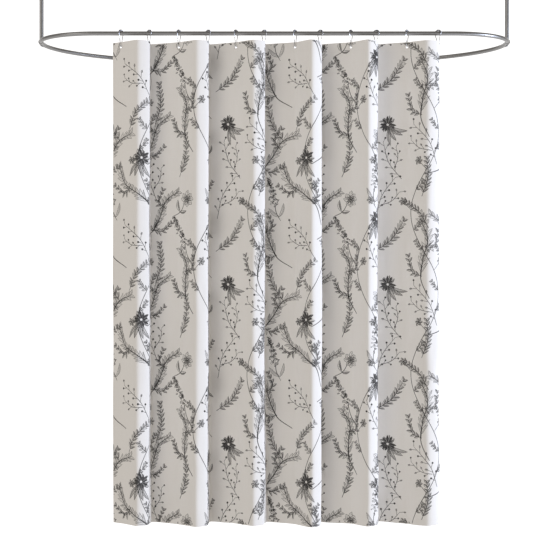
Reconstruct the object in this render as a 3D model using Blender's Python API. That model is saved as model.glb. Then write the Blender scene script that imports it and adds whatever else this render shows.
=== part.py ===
"""A shower curtain hung by roller-ball rings from an oval rail that hangs from a ceiling.

Metres, +Z up. The origin is on the ceiling, midway between the two flanges. The drop
tubes stand over the X axis, the curtain hangs from the front run of the rail at -Y, and
the back run of the rail is at +Y.
"""

import math

import bmesh
import bpy
from mathutils import Vector

# Clearances
SEAT_GAP = 0.0003  # between two pieces that touch
ROLL_GAP = 0.0004  # between the roller balls and the rail under them

# Oval rail, measured on the centre line of its tube
RAIL_HALF_WIDTH = 0.92
FRONT_DEPTH = 0.19  # the front run, forward of the drop tubes
BACK_DEPTH = 0.465  # the back run, behind the drop tubes
CORNER_REACH = 0.24  # how far in from each end the front run starts to bend
TUBE_RADIUS = 0.008
TUBE_WALL = 0.0012
TUBE_SIDES = 12
CORNER_STEPS = 7
BACK_STEPS = 20

# Couplers that join the two halves of the rail under the drop tubes
COUPLER_REACH = 0.036  # each way from the drop tube
COUPLER_WALL = 0.0013
RAIL_SETBACK = 0.006  # each rail end stops this far from the drop's centre line
SET_SCREW_RADIUS = 0.002
SET_SCREW_LENGTH = 0.003

# Drop tubes and what holds them to the couplers
DROP = 0.40  # from the ceiling down to the rail's centre line
PLUG_LENGTH = 0.018
PLUG_INSET = 0.004  # how far the plug sits up inside the drop tube
DROP_SCREW_RADIUS = 0.0025
DROP_SCREW_BITE = 0.012  # how far the screw goes into the plug
DROP_SCREW_HEAD_RADIUS = 0.0046
DROP_SCREW_HEAD_HEIGHT = 0.0028

# Ceiling flanges
FLANGE_RADIUS = 0.032
FLANGE_THICKNESS = 0.005
BOSS_RADIUS = 0.0125
BOSS_HEIGHT = 0.022  # from the ceiling to the boss's lower rim
SOCKET_FLOOR = 0.003  # solid metal between the drop tube and the ceiling
GRUB_DEPTH = 0.014  # the grub screw's centre, below the ceiling
CEILING_SCREW_COUNT = 3
CEILING_SCREW_CIRCLE = 0.0235
CEILING_SCREW_RADIUS = 0.0019
CEILING_SCREW_HEAD_RADIUS = 0.0038
CEILING_SCREW_HEAD_HEIGHT = 0.0022
CEILING_SCREW_LENGTH = 0.032

# Roller rings
RING_COUNT = 12
WIRE_RADIUS = 0.0014
BALL_RADIUS = 0.0036
BALL_COUNT = 5
BALL_STEP = math.radians(36)
NECK_RADIUS = 0.0024  # the string of balls, where one ball meets the next
RING_DROP = 0.0497  # from the rail's centre line to the wire at the ring's foot
FOOT_RADIUS = 0.0075
FOOT_FLARE = math.radians(18)  # how far the foot's arc runs past level
ARC_OVERRUN = math.radians(14)  # how far the top arc runs past the last ball
CATCH_GAP = 0.0005  # the opening between the two ends of the wire
ODD_TWIST = math.radians(-30)  # about the vertical, front of the ring to the left
EVEN_TWIST = math.radians(38)
WIRE_SIDES = 6
NECK_LEAD = 0.22  # how far each ball is full-width, as a share of the step to the next
SHOULDER_HANDLE = 0.33  # of the shoulder's length

# Curtain
CLOTH_WIDTH = 1.829  # cut and hemmed size, laid flat
CLOTH_HEIGHT = 1.829
CLOTH_THICKNESS = 0.0008
BAND_THICKNESS = 0.0006
HEADER_HEIGHT = 0.038
EDGE_MARGIN = 0.038  # from a side edge to the first buttonhole
BUTTONHOLE_WIDTH = 0.0104
BUTTONHOLE_HEIGHT = 0.016
BUTTONHOLE_DROP = 0.0135  # from the top edge to the buttonhole
HANG_GAP = 0.0018  # from the wire at the ring's foot up to the buttonhole's top
RING_SPAN = 1.2035  # from the first ring to the last, as it hangs
RING_MIDDLE = 0.020  # the middle of that span, from the centre of the rail
RING_DRIFT = (0, -3, 1, 2, -1, -4, 5, -10, -2, -16, -8, 0)  # millimetres, by hand
HEM_SPREAD = 0.06  # how much deeper the folds are at the hem
HEM_SOFTENING = 0.25  # how much of the folds' overhang is lost by the hem
OVERHANG_LEFT = 1.14  # how far the folds overhang, at the first ring and at the last
OVERHANG_RIGHT = 1.02
STEADY_SHARE = 0.4  # of the softening, for the folds on the right
STEADY_FROM = 0.55  # where those folds begin, as a share of the span
HALF_FOLD_STEPS = 8
FOLD_SAMPLES = 96  # used to measure the cloth in half a fold
# One fold seen from above, over two rings: (place in ring numbers, how far forward as a
# share of the fold's depth, how far ahead of an even run as a share of the rings' pitch).
FOLD_FORM = (
    (0.00, 0.00, 0.00),
    (0.28, 0.56, 0.045),
    (0.53, 0.98, 0.09),
    (0.70, 0.86, 0.14),
    (0.84, 0.56, 0.17),
    (0.92, 0.28, 0.09),
    (1.00, 0.00, 0.00),
    (1.14, -0.52, -0.145),
    (1.27, -0.88, -0.25),
    (1.42, -0.80, -0.22),
    (1.70, -0.41, -0.11),
)

RAIL_Z = -DROP
RUN_Y = -FRONT_DEPTH
COUPLER_INNER = TUBE_RADIUS + SEAT_GAP
COUPLER_OUTER = COUPLER_INNER + COUPLER_WALL
BALL_PATH = TUBE_RADIUS + ROLL_GAP + BALL_RADIUS
BORE_RADIUS = WIRE_RADIUS + SEAT_GAP
FOOT_Z = RAIL_Z - RING_DROP
CLOTH_TOP = FOOT_Z + WIRE_RADIUS + HANG_GAP + BUTTONHOLE_DROP
CLOTH_PITCH = (CLOTH_WIDTH - 2 * EDGE_MARGIN) / (RING_COUNT - 1)


# ---------------------------------------------------------------- materials


def metal(name, colour, roughness):
    return finish(name, colour, roughness, 1.0)


def finish(name, colour, roughness, metallic):
    material = bpy.data.materials.new(name)
    material.use_nodes = True
    shader = material.node_tree.nodes["Principled BSDF"]
    shader.inputs["Base Color"].default_value = (*colour, 1)
    shader.inputs["Roughness"].default_value = roughness
    shader.inputs["Metallic"].default_value = metallic
    material.diffuse_color = (*colour, 1)
    return material


# ------------------------------------------------------------------ helpers


def clear_scene():
    for thing in list(bpy.data.objects):
        bpy.data.objects.remove(thing)


def empty(name, place):
    axis = bpy.data.objects.new(name, None)
    axis.location = place
    axis.empty_display_size = 0.02
    bpy.context.collection.objects.link(axis)
    return axis


def finish_mesh(name, shape, material, parent=None, smooth=True):
    """Turn a bmesh drawn in the model's frame into a named object under its parent."""
    bmesh.ops.recalc_face_normals(shape, faces=shape.faces)
    if parent:
        bmesh.ops.translate(shape, vec=-parent.location, verts=shape.verts)
    mesh = bpy.data.meshes.new(name)
    shape.to_mesh(mesh)
    shape.free()
    if smooth:
        mesh.shade_smooth()
        mesh.set_sharp_from_angle(angle=math.radians(40))
    mesh.materials.append(material)
    thing = bpy.data.objects.new(name, mesh)
    thing.parent = parent
    bpy.context.collection.objects.link(thing)
    return thing


def circle(shape, centre, across, up, radius, sides):
    """A loop of vertices round a centre, in the plane of two unit vectors."""
    loop = []
    for i in range(sides):
        angle = 2 * math.pi * i / sides
        offset = across * math.cos(angle) + up * math.sin(angle)
        loop.append(shape.verts.new(centre + offset * radius))
    return loop


def bridge(shape, first, second):
    count = len(first)
    for i in range(count):
        j = (i + 1) % count
        shape.faces.new((first[i], first[j], second[j], second[i]))


def skin(shape, loops):
    for first, second in zip(loops, loops[1:]):
        bridge(shape, first, second)


def tangents(path):
    directions = []
    for i in range(len(path)):
        before = path[max(i - 1, 0)]
        after = path[min(i + 1, len(path) - 1)]
        directions.append((after - before).normalized())
    return directions


def swept_rod(path, normal, radius, sides):
    """A round rod along a flat path, whose plane has this normal."""
    shape = bmesh.new()
    loops = []
    for point, along in zip(path, tangents(path)):
        loops.append(circle(shape, point, normal, along.cross(normal), radius, sides))
    skin(shape, loops)
    shape.faces.new(loops[0])
    shape.faces.new(loops[-1])
    return shape


def swept_tube(path, outer, inner, sides):
    """A hollow tube, open at both ends, along a level path."""
    shape = bmesh.new()
    up = Vector((0, 0, 1))
    outside, inside = [], []
    for point, along in zip(path, tangents(path)):
        across = along.cross(up)
        outside.append(circle(shape, point, across, up, outer, sides))
        inside.append(circle(shape, point, across, up, inner, sides))
    skin(shape, outside)
    skin(shape, inside)
    bridge(shape, outside[0], inside[0])
    bridge(shape, outside[-1], inside[-1])
    return shape


def turned(profile, centre, sides):
    """Spin a list of (radius, height) points about the vertical through a centre."""
    shape = bmesh.new()
    points = [shape.verts.new((radius, 0, height)) for radius, height in profile]
    edges = [shape.edges.new(pair) for pair in zip(points, points[1:])]
    bmesh.ops.spin(
        shape,
        geom=points + edges,
        cent=(0, 0, 0),
        axis=(0, 0, 1),
        angle=2 * math.pi,
        steps=sides,
    )
    bmesh.ops.remove_doubles(shape, verts=shape.verts, dist=1e-6)
    bmesh.ops.translate(shape, vec=centre, verts=shape.verts)
    return shape


def cut_hole(thing, name, centre, direction, radius, length, sides=12):
    """Cut a round hole, centred on a point and running both ways along a direction."""
    shape = bmesh.new()
    turn = Vector((0, 0, 1)).rotation_difference(direction).to_matrix().to_4x4()
    bmesh.ops.create_cone(
        shape,
        cap_ends=True,
        segments=sides,
        radius1=radius,
        radius2=radius,
        depth=length,
        matrix=turn,
    )
    bmesh.ops.translate(shape, vec=centre, verts=shape.verts)
    mesh = bpy.data.meshes.new(name)
    shape.to_mesh(mesh)
    shape.free()
    cutter = bpy.data.objects.new(name, mesh)
    cutter.hide_render = True
    cutter.display_type = "WIRE"
    bpy.context.collection.objects.link(cutter)
    hole = thing.modifiers.new(name, "BOOLEAN")
    hole.operation = "DIFFERENCE"
    hole.solver = "EXACT"
    hole.object = cutter


# --------------------------------------------------------------- rail plan


def front_point(side, angle):
    """A point on a front corner: 0 is under the drop tube, a right angle is the run."""
    x = RAIL_HALF_WIDTH - CORNER_REACH * (1 - math.cos(angle))
    return Vector((side * x, -FRONT_DEPTH * math.sin(angle), RAIL_Z))


def back_point(side, angle):
    """A point on the back half: 0 is under the drop tube, a right angle is the middle."""
    x = RAIL_HALF_WIDTH * math.cos(angle)
    return Vector((side * x, BACK_DEPTH * math.sin(angle), RAIL_Z))


def coupler_angles(depth):
    """The stations that a rail end shares with its coupler, as angles on that half."""
    middle = (RAIL_SETBACK + COUPLER_REACH) / 2
    return [math.asin(y / depth) for y in (RAIL_SETBACK, middle, COUPLER_REACH)]


def half_angles(depth, steps):
    shared = coupler_angles(depth)
    rest = (math.pi / 2 - shared[-1]) / steps
    return shared + [shared[-1] + rest * (i + 1) for i in range(steps)]


def make_rail(steel):
    inner = TUBE_RADIUS - TUBE_WALL
    angles = half_angles(FRONT_DEPTH, CORNER_STEPS)
    left = [front_point(-1, angle) for angle in angles]
    right = [front_point(1, angle) for angle in reversed(angles)]
    tube = swept_tube(left + right, TUBE_RADIUS, inner, TUBE_SIDES)
    finish_mesh("rail_front", tube, steel)

    angles = half_angles(BACK_DEPTH, BACK_STEPS // 2)
    left = [back_point(-1, angle) for angle in angles]
    right = [back_point(1, angle) for angle in reversed(angles[:-1])]
    tube = swept_tube(left + right, TUBE_RADIUS, inner, TUBE_SIDES)
    finish_mesh("rail_back", tube, steel)


def make_coupler(side, name, steel, dark_steel):
    """A sleeve over both rail ends, drilled for the drop screw and two set screws."""
    ahead = [front_point(side, angle) for angle in coupler_angles(FRONT_DEPTH)]
    behind = [back_point(side, angle) for angle in coupler_angles(BACK_DEPTH)]
    path = list(reversed(behind)) + ahead
    tube = swept_tube(path, COUPLER_OUTER, COUPLER_INNER, TUBE_SIDES)
    coupler = finish_mesh(f"rail_coupler_{name}", tube, steel)

    centre = Vector((side * RAIL_HALF_WIDTH, 0, RAIL_Z))
    clearance = DROP_SCREW_RADIUS + SEAT_GAP
    down = Vector((0, 0, -1))
    cut_hole(coupler, f"drop_hole_{name}", centre, down, clearance, 4 * COUPLER_OUTER)

    # The set screws come up from below and press on the rail ends inside the sleeve.
    for where, point in (("front", ahead[1]), ("back", behind[1])):
        top = point + down * (TUBE_RADIUS + SEAT_GAP)
        hole = SET_SCREW_RADIUS + SEAT_GAP
        label = f"{name}_{where}"
        cut_hole(coupler, f"set_hole_{label}", top, down, hole, 4 * COUPLER_WALL)
        profile = [(0, 0), (SET_SCREW_RADIUS, 0), (SET_SCREW_RADIUS, -SET_SCREW_LENGTH)]
        profile.append((0, -SET_SCREW_LENGTH))
        finish_mesh(f"coupler_set_screw_{label}", turned(profile, top, 8), dark_steel)


# -------------------------------------------------- drop tubes and flanges


def make_drop_tube(side, name, steel):
    """A straight tube whose lower end is coped to straddle the coupler."""
    shape = bmesh.new()
    up = Vector((0, 0, 1))
    across = Vector((1, 0, 0))
    top = Vector((side * RAIL_HALF_WIDTH, 0, -SOCKET_FLOOR - SEAT_GAP))
    foot = Vector((top.x, 0, RAIL_Z))
    saddle = COUPLER_OUTER + SEAT_GAP
    upper, lower = [], []
    for radius in (TUBE_RADIUS, TUBE_RADIUS - TUBE_WALL):
        upper.append(circle(shape, top, across, up.cross(across), radius, 16))
        loop = circle(shape, foot, across, up.cross(across), radius, 16)
        for vertex in loop:
            reach = vertex.co.x - top.x
            vertex.co.z += math.sqrt(saddle**2 - reach**2)
        lower.append(loop)
        bridge(shape, upper[-1], loop)
    bridge(shape, upper[0], upper[1])
    bridge(shape, lower[0], lower[1])
    finish_mesh(f"drop_tube_{name}", shape, steel)


def make_drop_plug(side, name, steel):
    """A threaded plug fixed in the foot of the drop tube."""
    low = RAIL_Z + COUPLER_OUTER + PLUG_INSET
    outer = TUBE_RADIUS - TUBE_WALL - SEAT_GAP
    bore = DROP_SCREW_RADIUS + SEAT_GAP
    profile = [
        (bore, 0),
        (outer, 0),
        (outer, PLUG_LENGTH),
        (bore, PLUG_LENGTH),
        (bore, 0),
    ]
    centre = Vector((side * RAIL_HALF_WIDTH, 0, low))
    finish_mesh(f"drop_plug_{name}", turned(profile, centre, 12), steel)


def make_drop_screw(side, name, dark_steel):
    """The screw that comes up through the coupler into the plug."""
    under = -COUPLER_OUTER - SEAT_GAP
    tip = COUPLER_OUTER + PLUG_INSET + DROP_SCREW_BITE
    profile = [
        (0, under - DROP_SCREW_HEAD_HEIGHT),
        (DROP_SCREW_HEAD_RADIUS * 0.7, under - DROP_SCREW_HEAD_HEIGHT),
        (DROP_SCREW_HEAD_RADIUS, under - DROP_SCREW_HEAD_HEIGHT * 0.5),
        (DROP_SCREW_HEAD_RADIUS, under),
        (DROP_SCREW_RADIUS, under),
        (DROP_SCREW_RADIUS, tip),
        (0, tip),
    ]
    centre = Vector((side * RAIL_HALF_WIDTH, 0, RAIL_Z))
    finish_mesh(f"drop_screw_{name}", turned(profile, centre, 10), dark_steel)


def make_flange(side, name, steel, dark_steel):
    """A round ceiling plate with a boss whose socket takes the drop tube."""
    socket = TUBE_RADIUS + SEAT_GAP
    profile = [
        (0, 0),
        (FLANGE_RADIUS, 0),
        (FLANGE_RADIUS, -FLANGE_THICKNESS * 0.5),
        (FLANGE_RADIUS * 0.94, -FLANGE_THICKNESS),
        (BOSS_RADIUS * 1.12, -FLANGE_THICKNESS),
        (BOSS_RADIUS, -FLANGE_THICKNESS * 1.5),
        (BOSS_RADIUS, -BOSS_HEIGHT),
        (socket, -BOSS_HEIGHT),
        (socket, -SOCKET_FLOOR),
        (0, -SOCKET_FLOOR),
    ]
    centre = Vector((side * RAIL_HALF_WIDTH, 0, 0))
    flange = finish_mesh(f"ceiling_flange_{name}", turned(profile, centre, 24), steel)

    # One grub screw, from behind, holds the drop tube in the boss.
    back = Vector((0, 1, 0))
    seat = centre + back * (TUBE_RADIUS + SEAT_GAP) + Vector((0, 0, -GRUB_DEPTH))
    hole = SET_SCREW_RADIUS + SEAT_GAP
    boss_wall = BOSS_RADIUS - socket
    cut_hole(flange, f"grub_hole_{name}", seat, back, hole, 4 * boss_wall)
    length = BOSS_RADIUS - TUBE_RADIUS
    shape = bmesh.new()
    loops = []
    for reach in (0, length):
        point = seat + back * reach
        loops.append(circle(shape, point, Vector((1, 0, 0)), Vector((0, 0, 1)),
                            SET_SCREW_RADIUS, 8))
    skin(shape, loops)
    shape.faces.new(loops[0])
    shape.faces.new(loops[1])
    finish_mesh(f"flange_grub_screw_{name}", shape, dark_steel)

    for i in range(CEILING_SCREW_COUNT):
        angle = math.pi / 2 + 2 * math.pi * i / CEILING_SCREW_COUNT
        spot = Vector((math.cos(angle), math.sin(angle), 0)) * CEILING_SCREW_CIRCLE
        place = centre + spot
        label = f"{name}_{i + 1}"
        hole = CEILING_SCREW_RADIUS + SEAT_GAP
        up = Vector((0, 0, 1))
        cut_hole(flange, f"screw_hole_{label}", place, up, hole, 4 * FLANGE_THICKNESS, 8)
        make_ceiling_screw(place, label, dark_steel)


def make_ceiling_screw(place, label, dark_steel):
    under = -FLANGE_THICKNESS - SEAT_GAP
    low = under - CEILING_SCREW_HEAD_HEIGHT
    tip = under + CEILING_SCREW_LENGTH
    profile = [
        (0, low),
        (CEILING_SCREW_HEAD_RADIUS * 0.6, low),
        (CEILING_SCREW_HEAD_RADIUS, under),
        (CEILING_SCREW_RADIUS, under),
        (CEILING_SCREW_RADIUS, tip - 4 * CEILING_SCREW_RADIUS),
        (0, tip),
    ]
    finish_mesh(f"ceiling_screw_{label}", turned(profile, place, 8), dark_steel)


# ------------------------------------------------------------ roller rings


def ring_x(index):
    """Where ring 0, 1, 2 ... hangs along the front run."""
    pitch = RING_SPAN / (RING_COUNT - 1)
    drift = RING_DRIFT[index % len(RING_DRIFT)] / 1000
    return RING_MIDDLE - RING_SPAN / 2 + pitch * index + drift


def arc_point(twist, angle):
    """A point of the ring's top arc as (forward, up); 0 is straight over the rail."""
    return Vector((BALL_PATH / math.cos(twist) * math.sin(angle),
                   BALL_PATH * math.cos(angle)))


def bezier(a, b, c, d, share):
    rest = 1 - share
    return (a * rest**3 + b * 3 * rest**2 * share + c * 3 * rest * share**2
            + d * share**3)


def shoulder(twist):
    """From the end of the top arc down to the start of the foot, on the front side."""
    angle = BALL_STEP * BALL_COUNT / 2 + ARC_OVERRUN
    start = arc_point(twist, angle)
    away = Vector((math.cos(angle) / math.cos(twist), -math.sin(angle))).normalized()
    centre = Vector((0, FOOT_RADIUS - RING_DROP))
    end = centre + FOOT_RADIUS * Vector((math.cos(FOOT_FLARE), math.sin(FOOT_FLARE)))
    back_up = Vector((-math.sin(FOOT_FLARE), math.cos(FOOT_FLARE)))
    handle = (start - end).length * SHOULDER_HANDLE
    first, second = start + away * handle, end + back_up * handle
    return [bezier(start, first, second, end, i / 4) for i in range(5)]


def wire_outline(twist):
    """The whole ring as (forward, up) points, from its catch on the front and round."""
    half = BALL_STEP * BALL_COUNT / 2
    last = BALL_STEP * (BALL_COUNT - 1) / 2
    balls = [-last + BALL_STEP * i for i in range(BALL_COUNT)]
    front = shoulder(twist)
    catch = (front[1] + front[2]) / 2
    along = (front[2] - front[1]).normalized() * CATCH_GAP / 2
    foot_middle = Vector((0, FOOT_RADIUS - RING_DROP))
    foot = []
    sweep = math.pi + 2 * FOOT_FLARE
    for i in range(1, 8):
        angle = FOOT_FLARE - sweep * i / 8
        foot.append(foot_middle
                    + FOOT_RADIUS * Vector((math.cos(angle), math.sin(angle))))
    behind = [Vector((-point.x, point.y)) for point in front]
    over = [-half] + balls + [half]
    top = [arc_point(twist, angle) for angle in over]
    return ([catch + along] + front[2:] + foot + list(reversed(behind)) + top
            + front[:2] + [catch - along])


def place_ring(points, x, twist):
    forward = Vector((math.sin(twist), -math.cos(twist), 0))
    up = Vector((0, 0, 1))
    centre = Vector((x, RUN_Y, RAIL_Z))
    return [centre + forward * point.x + up * point.y for point in points]


def make_wire(name, x, twist, chrome, axis):
    path = place_ring(wire_outline(twist), x, twist)
    normal = Vector((math.cos(twist), math.sin(twist), 0))
    shape = swept_rod(path, normal, WIRE_RADIUS, WIRE_SIDES)
    finish_mesh(name, shape, chrome, axis)


def make_rollers(name, x, twist, chrome, axis):
    """The five roller balls of one ring as one string, bored for the wire."""
    half = BALL_STEP * BALL_COUNT / 2
    last = BALL_STEP * (BALL_COUNT - 1) / 2
    shape = bmesh.new()
    normal = Vector((math.cos(twist), math.sin(twist), 0))

    balls = [-last + BALL_STEP * i for i in range(BALL_COUNT)]
    bore_angles = [-half] + balls + [half]
    whole = wire_outline(twist)
    placed = place_ring(whole, x, twist)
    ways = tangents(placed)
    start = len(whole) - 3 - len(bore_angles)
    bore = []
    for i in range(len(bore_angles)):
        point, along = placed[start + i], ways[start + i]
        bore.append(circle(shape, point, normal, along.cross(normal), BORE_RADIUS,
                           WIRE_SIDES))
    skin(shape, bore)

    stations = [(-half, NECK_RADIUS)]
    for ball in balls:
        stations.append((ball - BALL_STEP * NECK_LEAD, BALL_RADIUS))
        stations.append((ball + BALL_STEP * NECK_LEAD, BALL_RADIUS))
        stations.append((ball + BALL_STEP * 0.5, NECK_RADIUS))
    path = place_ring([arc_point(twist, angle) for angle, _ in stations], x, twist)
    outside = []
    for (_, radius), point, along in zip(stations, path, tangents(path)):
        outside.append(circle(shape, point, normal, along.cross(normal), radius,
                              WIRE_SIDES))
    skin(shape, outside)
    bridge(shape, outside[0], bore[0])
    bridge(shape, outside[-1], bore[-1])
    finish_mesh(name, shape, chrome, axis)


def make_rings(chrome):
    for index in range(RING_COUNT):
        number = f"{index + 1:02d}"
        x = ring_x(index)
        twist = EVEN_TWIST if index % 2 else ODD_TWIST
        axis = empty(f"ring_axis_{number}", Vector((x, RUN_Y, RAIL_Z)))
        make_wire(f"ring_wire_{number}", x, twist, chrome, axis)
        make_rollers(f"ring_rollers_{number}", x, twist, chrome, axis)


# ------------------------------------------------------------------ curtain


def fold_form(station):
    """Read the form of the folds smoothly at a ring number, as (forward, lead)."""
    count = len(FOLD_FORM)
    place = station % 2
    first = max(i for i in range(count) if FOLD_FORM[i][0] <= place)
    marks = []
    for i in range(first - 1, first + 3):
        mark, forward, lead = FOLD_FORM[i % count]
        marks.append(Vector((mark + 2 * (i // count), forward, lead)))
    before, start, end, after = marks
    span = end.x - start.x
    start_slope = (end - before) * span / (end.x - before.x)
    end_slope = (after - start) * span / (after.x - start.x)
    t = (place - start.x) / span
    point = (start * (2 * t**3 - 3 * t**2 + 1) + start_slope * (t**3 - 2 * t**2 + t)
             + end * (3 * t**2 - 2 * t**3) + end_slope * (t**3 - t**2))
    return point.y, point.z


def overhang(station, fall):
    """How strongly a fold overhangs; fall is 0 at the top edge and 1 at the hem."""
    share = min(max(station / (RING_COUNT - 1), 0), 1)
    softening = HEM_SOFTENING * (STEADY_SHARE if share > STEADY_FROM else 1)
    full = OVERHANG_LEFT + (OVERHANG_RIGHT - OVERHANG_LEFT) * share
    return full * (1 - softening * fall)


def half_fold_length(index, depth):
    """The cloth between two buttonholes, for how deep the fold is."""
    run = ring_x(index + 1) - ring_x(index)
    points = []
    for i in range(FOLD_SAMPLES + 1):
        share = i / FOLD_SAMPLES
        forward, lead = fold_form(index + share)
        ahead = share + lead * overhang(index + share, 0)
        points.append(Vector((run * ahead, depth * forward)))
    return sum((b - a).length for a, b in zip(points, points[1:]))


def half_fold_depth(index):
    """The depth that uses up the cloth between two buttonholes."""
    shallow, deep = 0, CLOTH_PITCH
    for _ in range(40):
        depth = (shallow + deep) / 2
        if half_fold_length(index, depth) < CLOTH_PITCH:
            shallow = depth
        else:
            deep = depth
    return depth


def depth_at(depths, station):
    """The fold depth between ring numbers, eased from one half fold to the next."""
    last = len(depths) - 1
    place = min(max(station - 0.5, 0), last)
    before = min(int(place), last)
    after = min(before + 1, last)
    share = (1 - math.cos(math.pi * (place - before))) / 2
    return depths[before] * (1 - share) + depths[after] * share


def hang_x(station):
    """The curtain's even progress along the rail, before its folds are added."""
    before = min(int(station), RING_COUNT - 2)
    share = station - before
    return ring_x(before) * (1 - share) + ring_x(before + 1) * share


def cloth_line(depths, station, fall):
    """The folded cloth seen from above; fall is 0 at the top edge and 1 at the hem."""
    inside = min(max(station, 0), RING_COUNT - 1)
    if inside != station:
        # Past the end buttonholes the cloth runs straight on to its side edges.
        edge = cloth_line(depths, inside, fall)
        step = math.copysign(0.002, inside - station)
        way = edge - cloth_line(depths, inside + step, fall)
        return edge + way.normalized() * abs(station - inside) * CLOTH_PITCH
    forward, lead = fold_form(station)
    wave = depth_at(depths, station) * (1 + HEM_SPREAD * fall) * forward
    pitch = RING_SPAN / (RING_COUNT - 1)
    ahead = lead * overhang(station, fall) * pitch
    return Vector((hang_x(station) + ahead, RUN_Y - wave, 0))


def cloth_point(depths, station, drop, behind):
    """A point of the cloth, a distance below its top edge and behind its face."""
    fall = drop / CLOTH_HEIGHT
    step = 0.002
    point = cloth_line(depths, station, fall)
    way = cloth_line(depths, station + step, fall) - cloth_line(
        depths, station - step, fall)
    back = Vector((-way.y, way.x, 0)).normalized()
    return point + back * behind + Vector((0, 0, CLOTH_TOP - drop))


def cloth_columns():
    """Ring numbers at the cloth's columns, with a pair at each buttonhole's sides."""
    margin = EDGE_MARGIN / CLOTH_PITCH
    side = BUTTONHOLE_WIDTH / 2 / CLOTH_PITCH
    columns = [-margin, -(margin + side) / 2]
    holes = []
    for ring in range(RING_COUNT):
        holes.append(len(columns))
        columns += [ring - side, ring + side]
        if ring < RING_COUNT - 1:
            columns += [ring + i / HALF_FOLD_STEPS for i in range(1, HALF_FOLD_STEPS)]
    last = RING_COUNT - 1
    columns += [last + (margin + side) / 2, last + margin]
    return columns, holes


def cloth_solid(name, rows, hole_row, near, far, fabric, axis):
    """A closed sheet of cloth between two distances behind the curtain's face."""
    depths = [half_fold_depth(index) for index in range(RING_COUNT - 1)]
    columns, holes = cloth_columns()
    shape = bmesh.new()
    layers = []
    for behind in (near, far):
        layer = []
        for drop in rows:
            layer.append([shape.verts.new(cloth_point(depths, q, drop, behind))
                          for q in columns])
        layers.append(layer)

    def solid(row, column):
        if not (0 <= row < len(rows) - 1 and 0 <= column < len(columns) - 1):
            return False
        return not (row == hole_row and column in holes)

    sides = (((-1, 0), (0, 0), (0, 1)), ((1, 0), (1, 0), (1, 1)),
             ((0, -1), (0, 0), (1, 0)), ((0, 1), (0, 1), (1, 1)))
    for row in range(len(rows) - 1):
        for column in range(len(columns) - 1):
            if not solid(row, column):
                continue
            for layer in layers:
                shape.faces.new((layer[row][column], layer[row][column + 1],
                                 layer[row + 1][column + 1], layer[row + 1][column]))
            for (down, across), start, end in sides:
                if solid(row + down, column + across):
                    continue
                a = (row + start[0], column + start[1])
                b = (row + end[0], column + end[1])
                front, back = layers
                shape.faces.new((front[a[0]][a[1]], front[b[0]][b[1]],
                                 back[b[0]][b[1]], back[a[0]][a[1]]))
    finish_mesh(name, shape, fabric, axis)


def make_curtain(fabric, tape):
    """The printed cloth, and the band sewn behind its top edge."""
    axis = empty("curtain_axis", Vector((ring_x(0), RUN_Y, FOOT_Z)))
    hole_top = BUTTONHOLE_DROP
    hole_foot = BUTTONHOLE_DROP + BUTTONHOLE_HEIGHT
    lower = [CLOTH_HEIGHT * share for share in (0.17, 0.38, 0.60, 0.81, 1)]
    rows = [0, hole_top, hole_foot] + lower
    total = CLOTH_THICKNESS + SEAT_GAP + BAND_THICKNESS
    face = -total / 2
    back = face + CLOTH_THICKNESS
    cloth_solid("curtain_panel", rows, 1, face, back, fabric, axis)
    rows = [0, hole_top, hole_foot, HEADER_HEIGHT]
    near = back + SEAT_GAP
    cloth_solid("header_band", rows, 1, near, near + BAND_THICKNESS, tape, axis)


def build():
    clear_scene()
    nickel = metal("brushed_nickel", (0.46, 0.45, 0.43), 0.32)
    chrome = metal("chrome", (0.78, 0.78, 0.79), 0.1)
    dark_steel = metal("screw_steel", (0.30, 0.30, 0.31), 0.35)
    fabric = finish("printed_cotton", (0.80, 0.78, 0.75), 0.85, 0.0)
    tape = finish("header_tape", (0.84, 0.83, 0.81), 0.9, 0.0)

    make_rail(nickel)
    for side, name in ((-1, "left"), (1, "right")):
        make_coupler(side, name, nickel, dark_steel)
        make_drop_tube(side, name, nickel)
        make_drop_plug(side, name, dark_steel)
        make_drop_screw(side, name, dark_steel)
        make_flange(side, name, nickel, dark_steel)
    make_rings(chrome)
    make_curtain(fabric, tape)


build()
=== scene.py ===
"""Looks of a printed shower curtain on an oval ceiling-hung rail.

Metres, +Z up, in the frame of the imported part. The origin is on the ceiling, midway
between the two flanges. The curtain hangs from the rail's front run, at -Y.
"""

import math

import bmesh
import bpy
import numpy as np
from bpy.props import FloatProperty, FloatVectorProperty, IntProperty, PointerProperty
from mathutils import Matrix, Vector


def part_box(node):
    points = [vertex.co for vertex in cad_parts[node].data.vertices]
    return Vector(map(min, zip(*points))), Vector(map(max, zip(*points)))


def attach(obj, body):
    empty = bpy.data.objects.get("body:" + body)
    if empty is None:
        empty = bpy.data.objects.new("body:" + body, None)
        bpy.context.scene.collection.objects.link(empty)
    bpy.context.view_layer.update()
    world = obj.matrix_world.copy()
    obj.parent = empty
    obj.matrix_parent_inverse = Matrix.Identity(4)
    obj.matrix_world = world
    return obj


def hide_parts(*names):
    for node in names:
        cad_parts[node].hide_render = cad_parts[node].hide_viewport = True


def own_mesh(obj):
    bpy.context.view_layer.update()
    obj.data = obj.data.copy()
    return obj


bl_info = {
    "name": "Printed shower curtain",
    "version": (1, 0, 0),
    "blender": (4, 5, 0),
    "location": "View3D > Sidebar > Curtain",
    "description": "Builds a printed shower curtain, its roller rings and its oval rail",
    "category": "Add Mesh",
}

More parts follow.
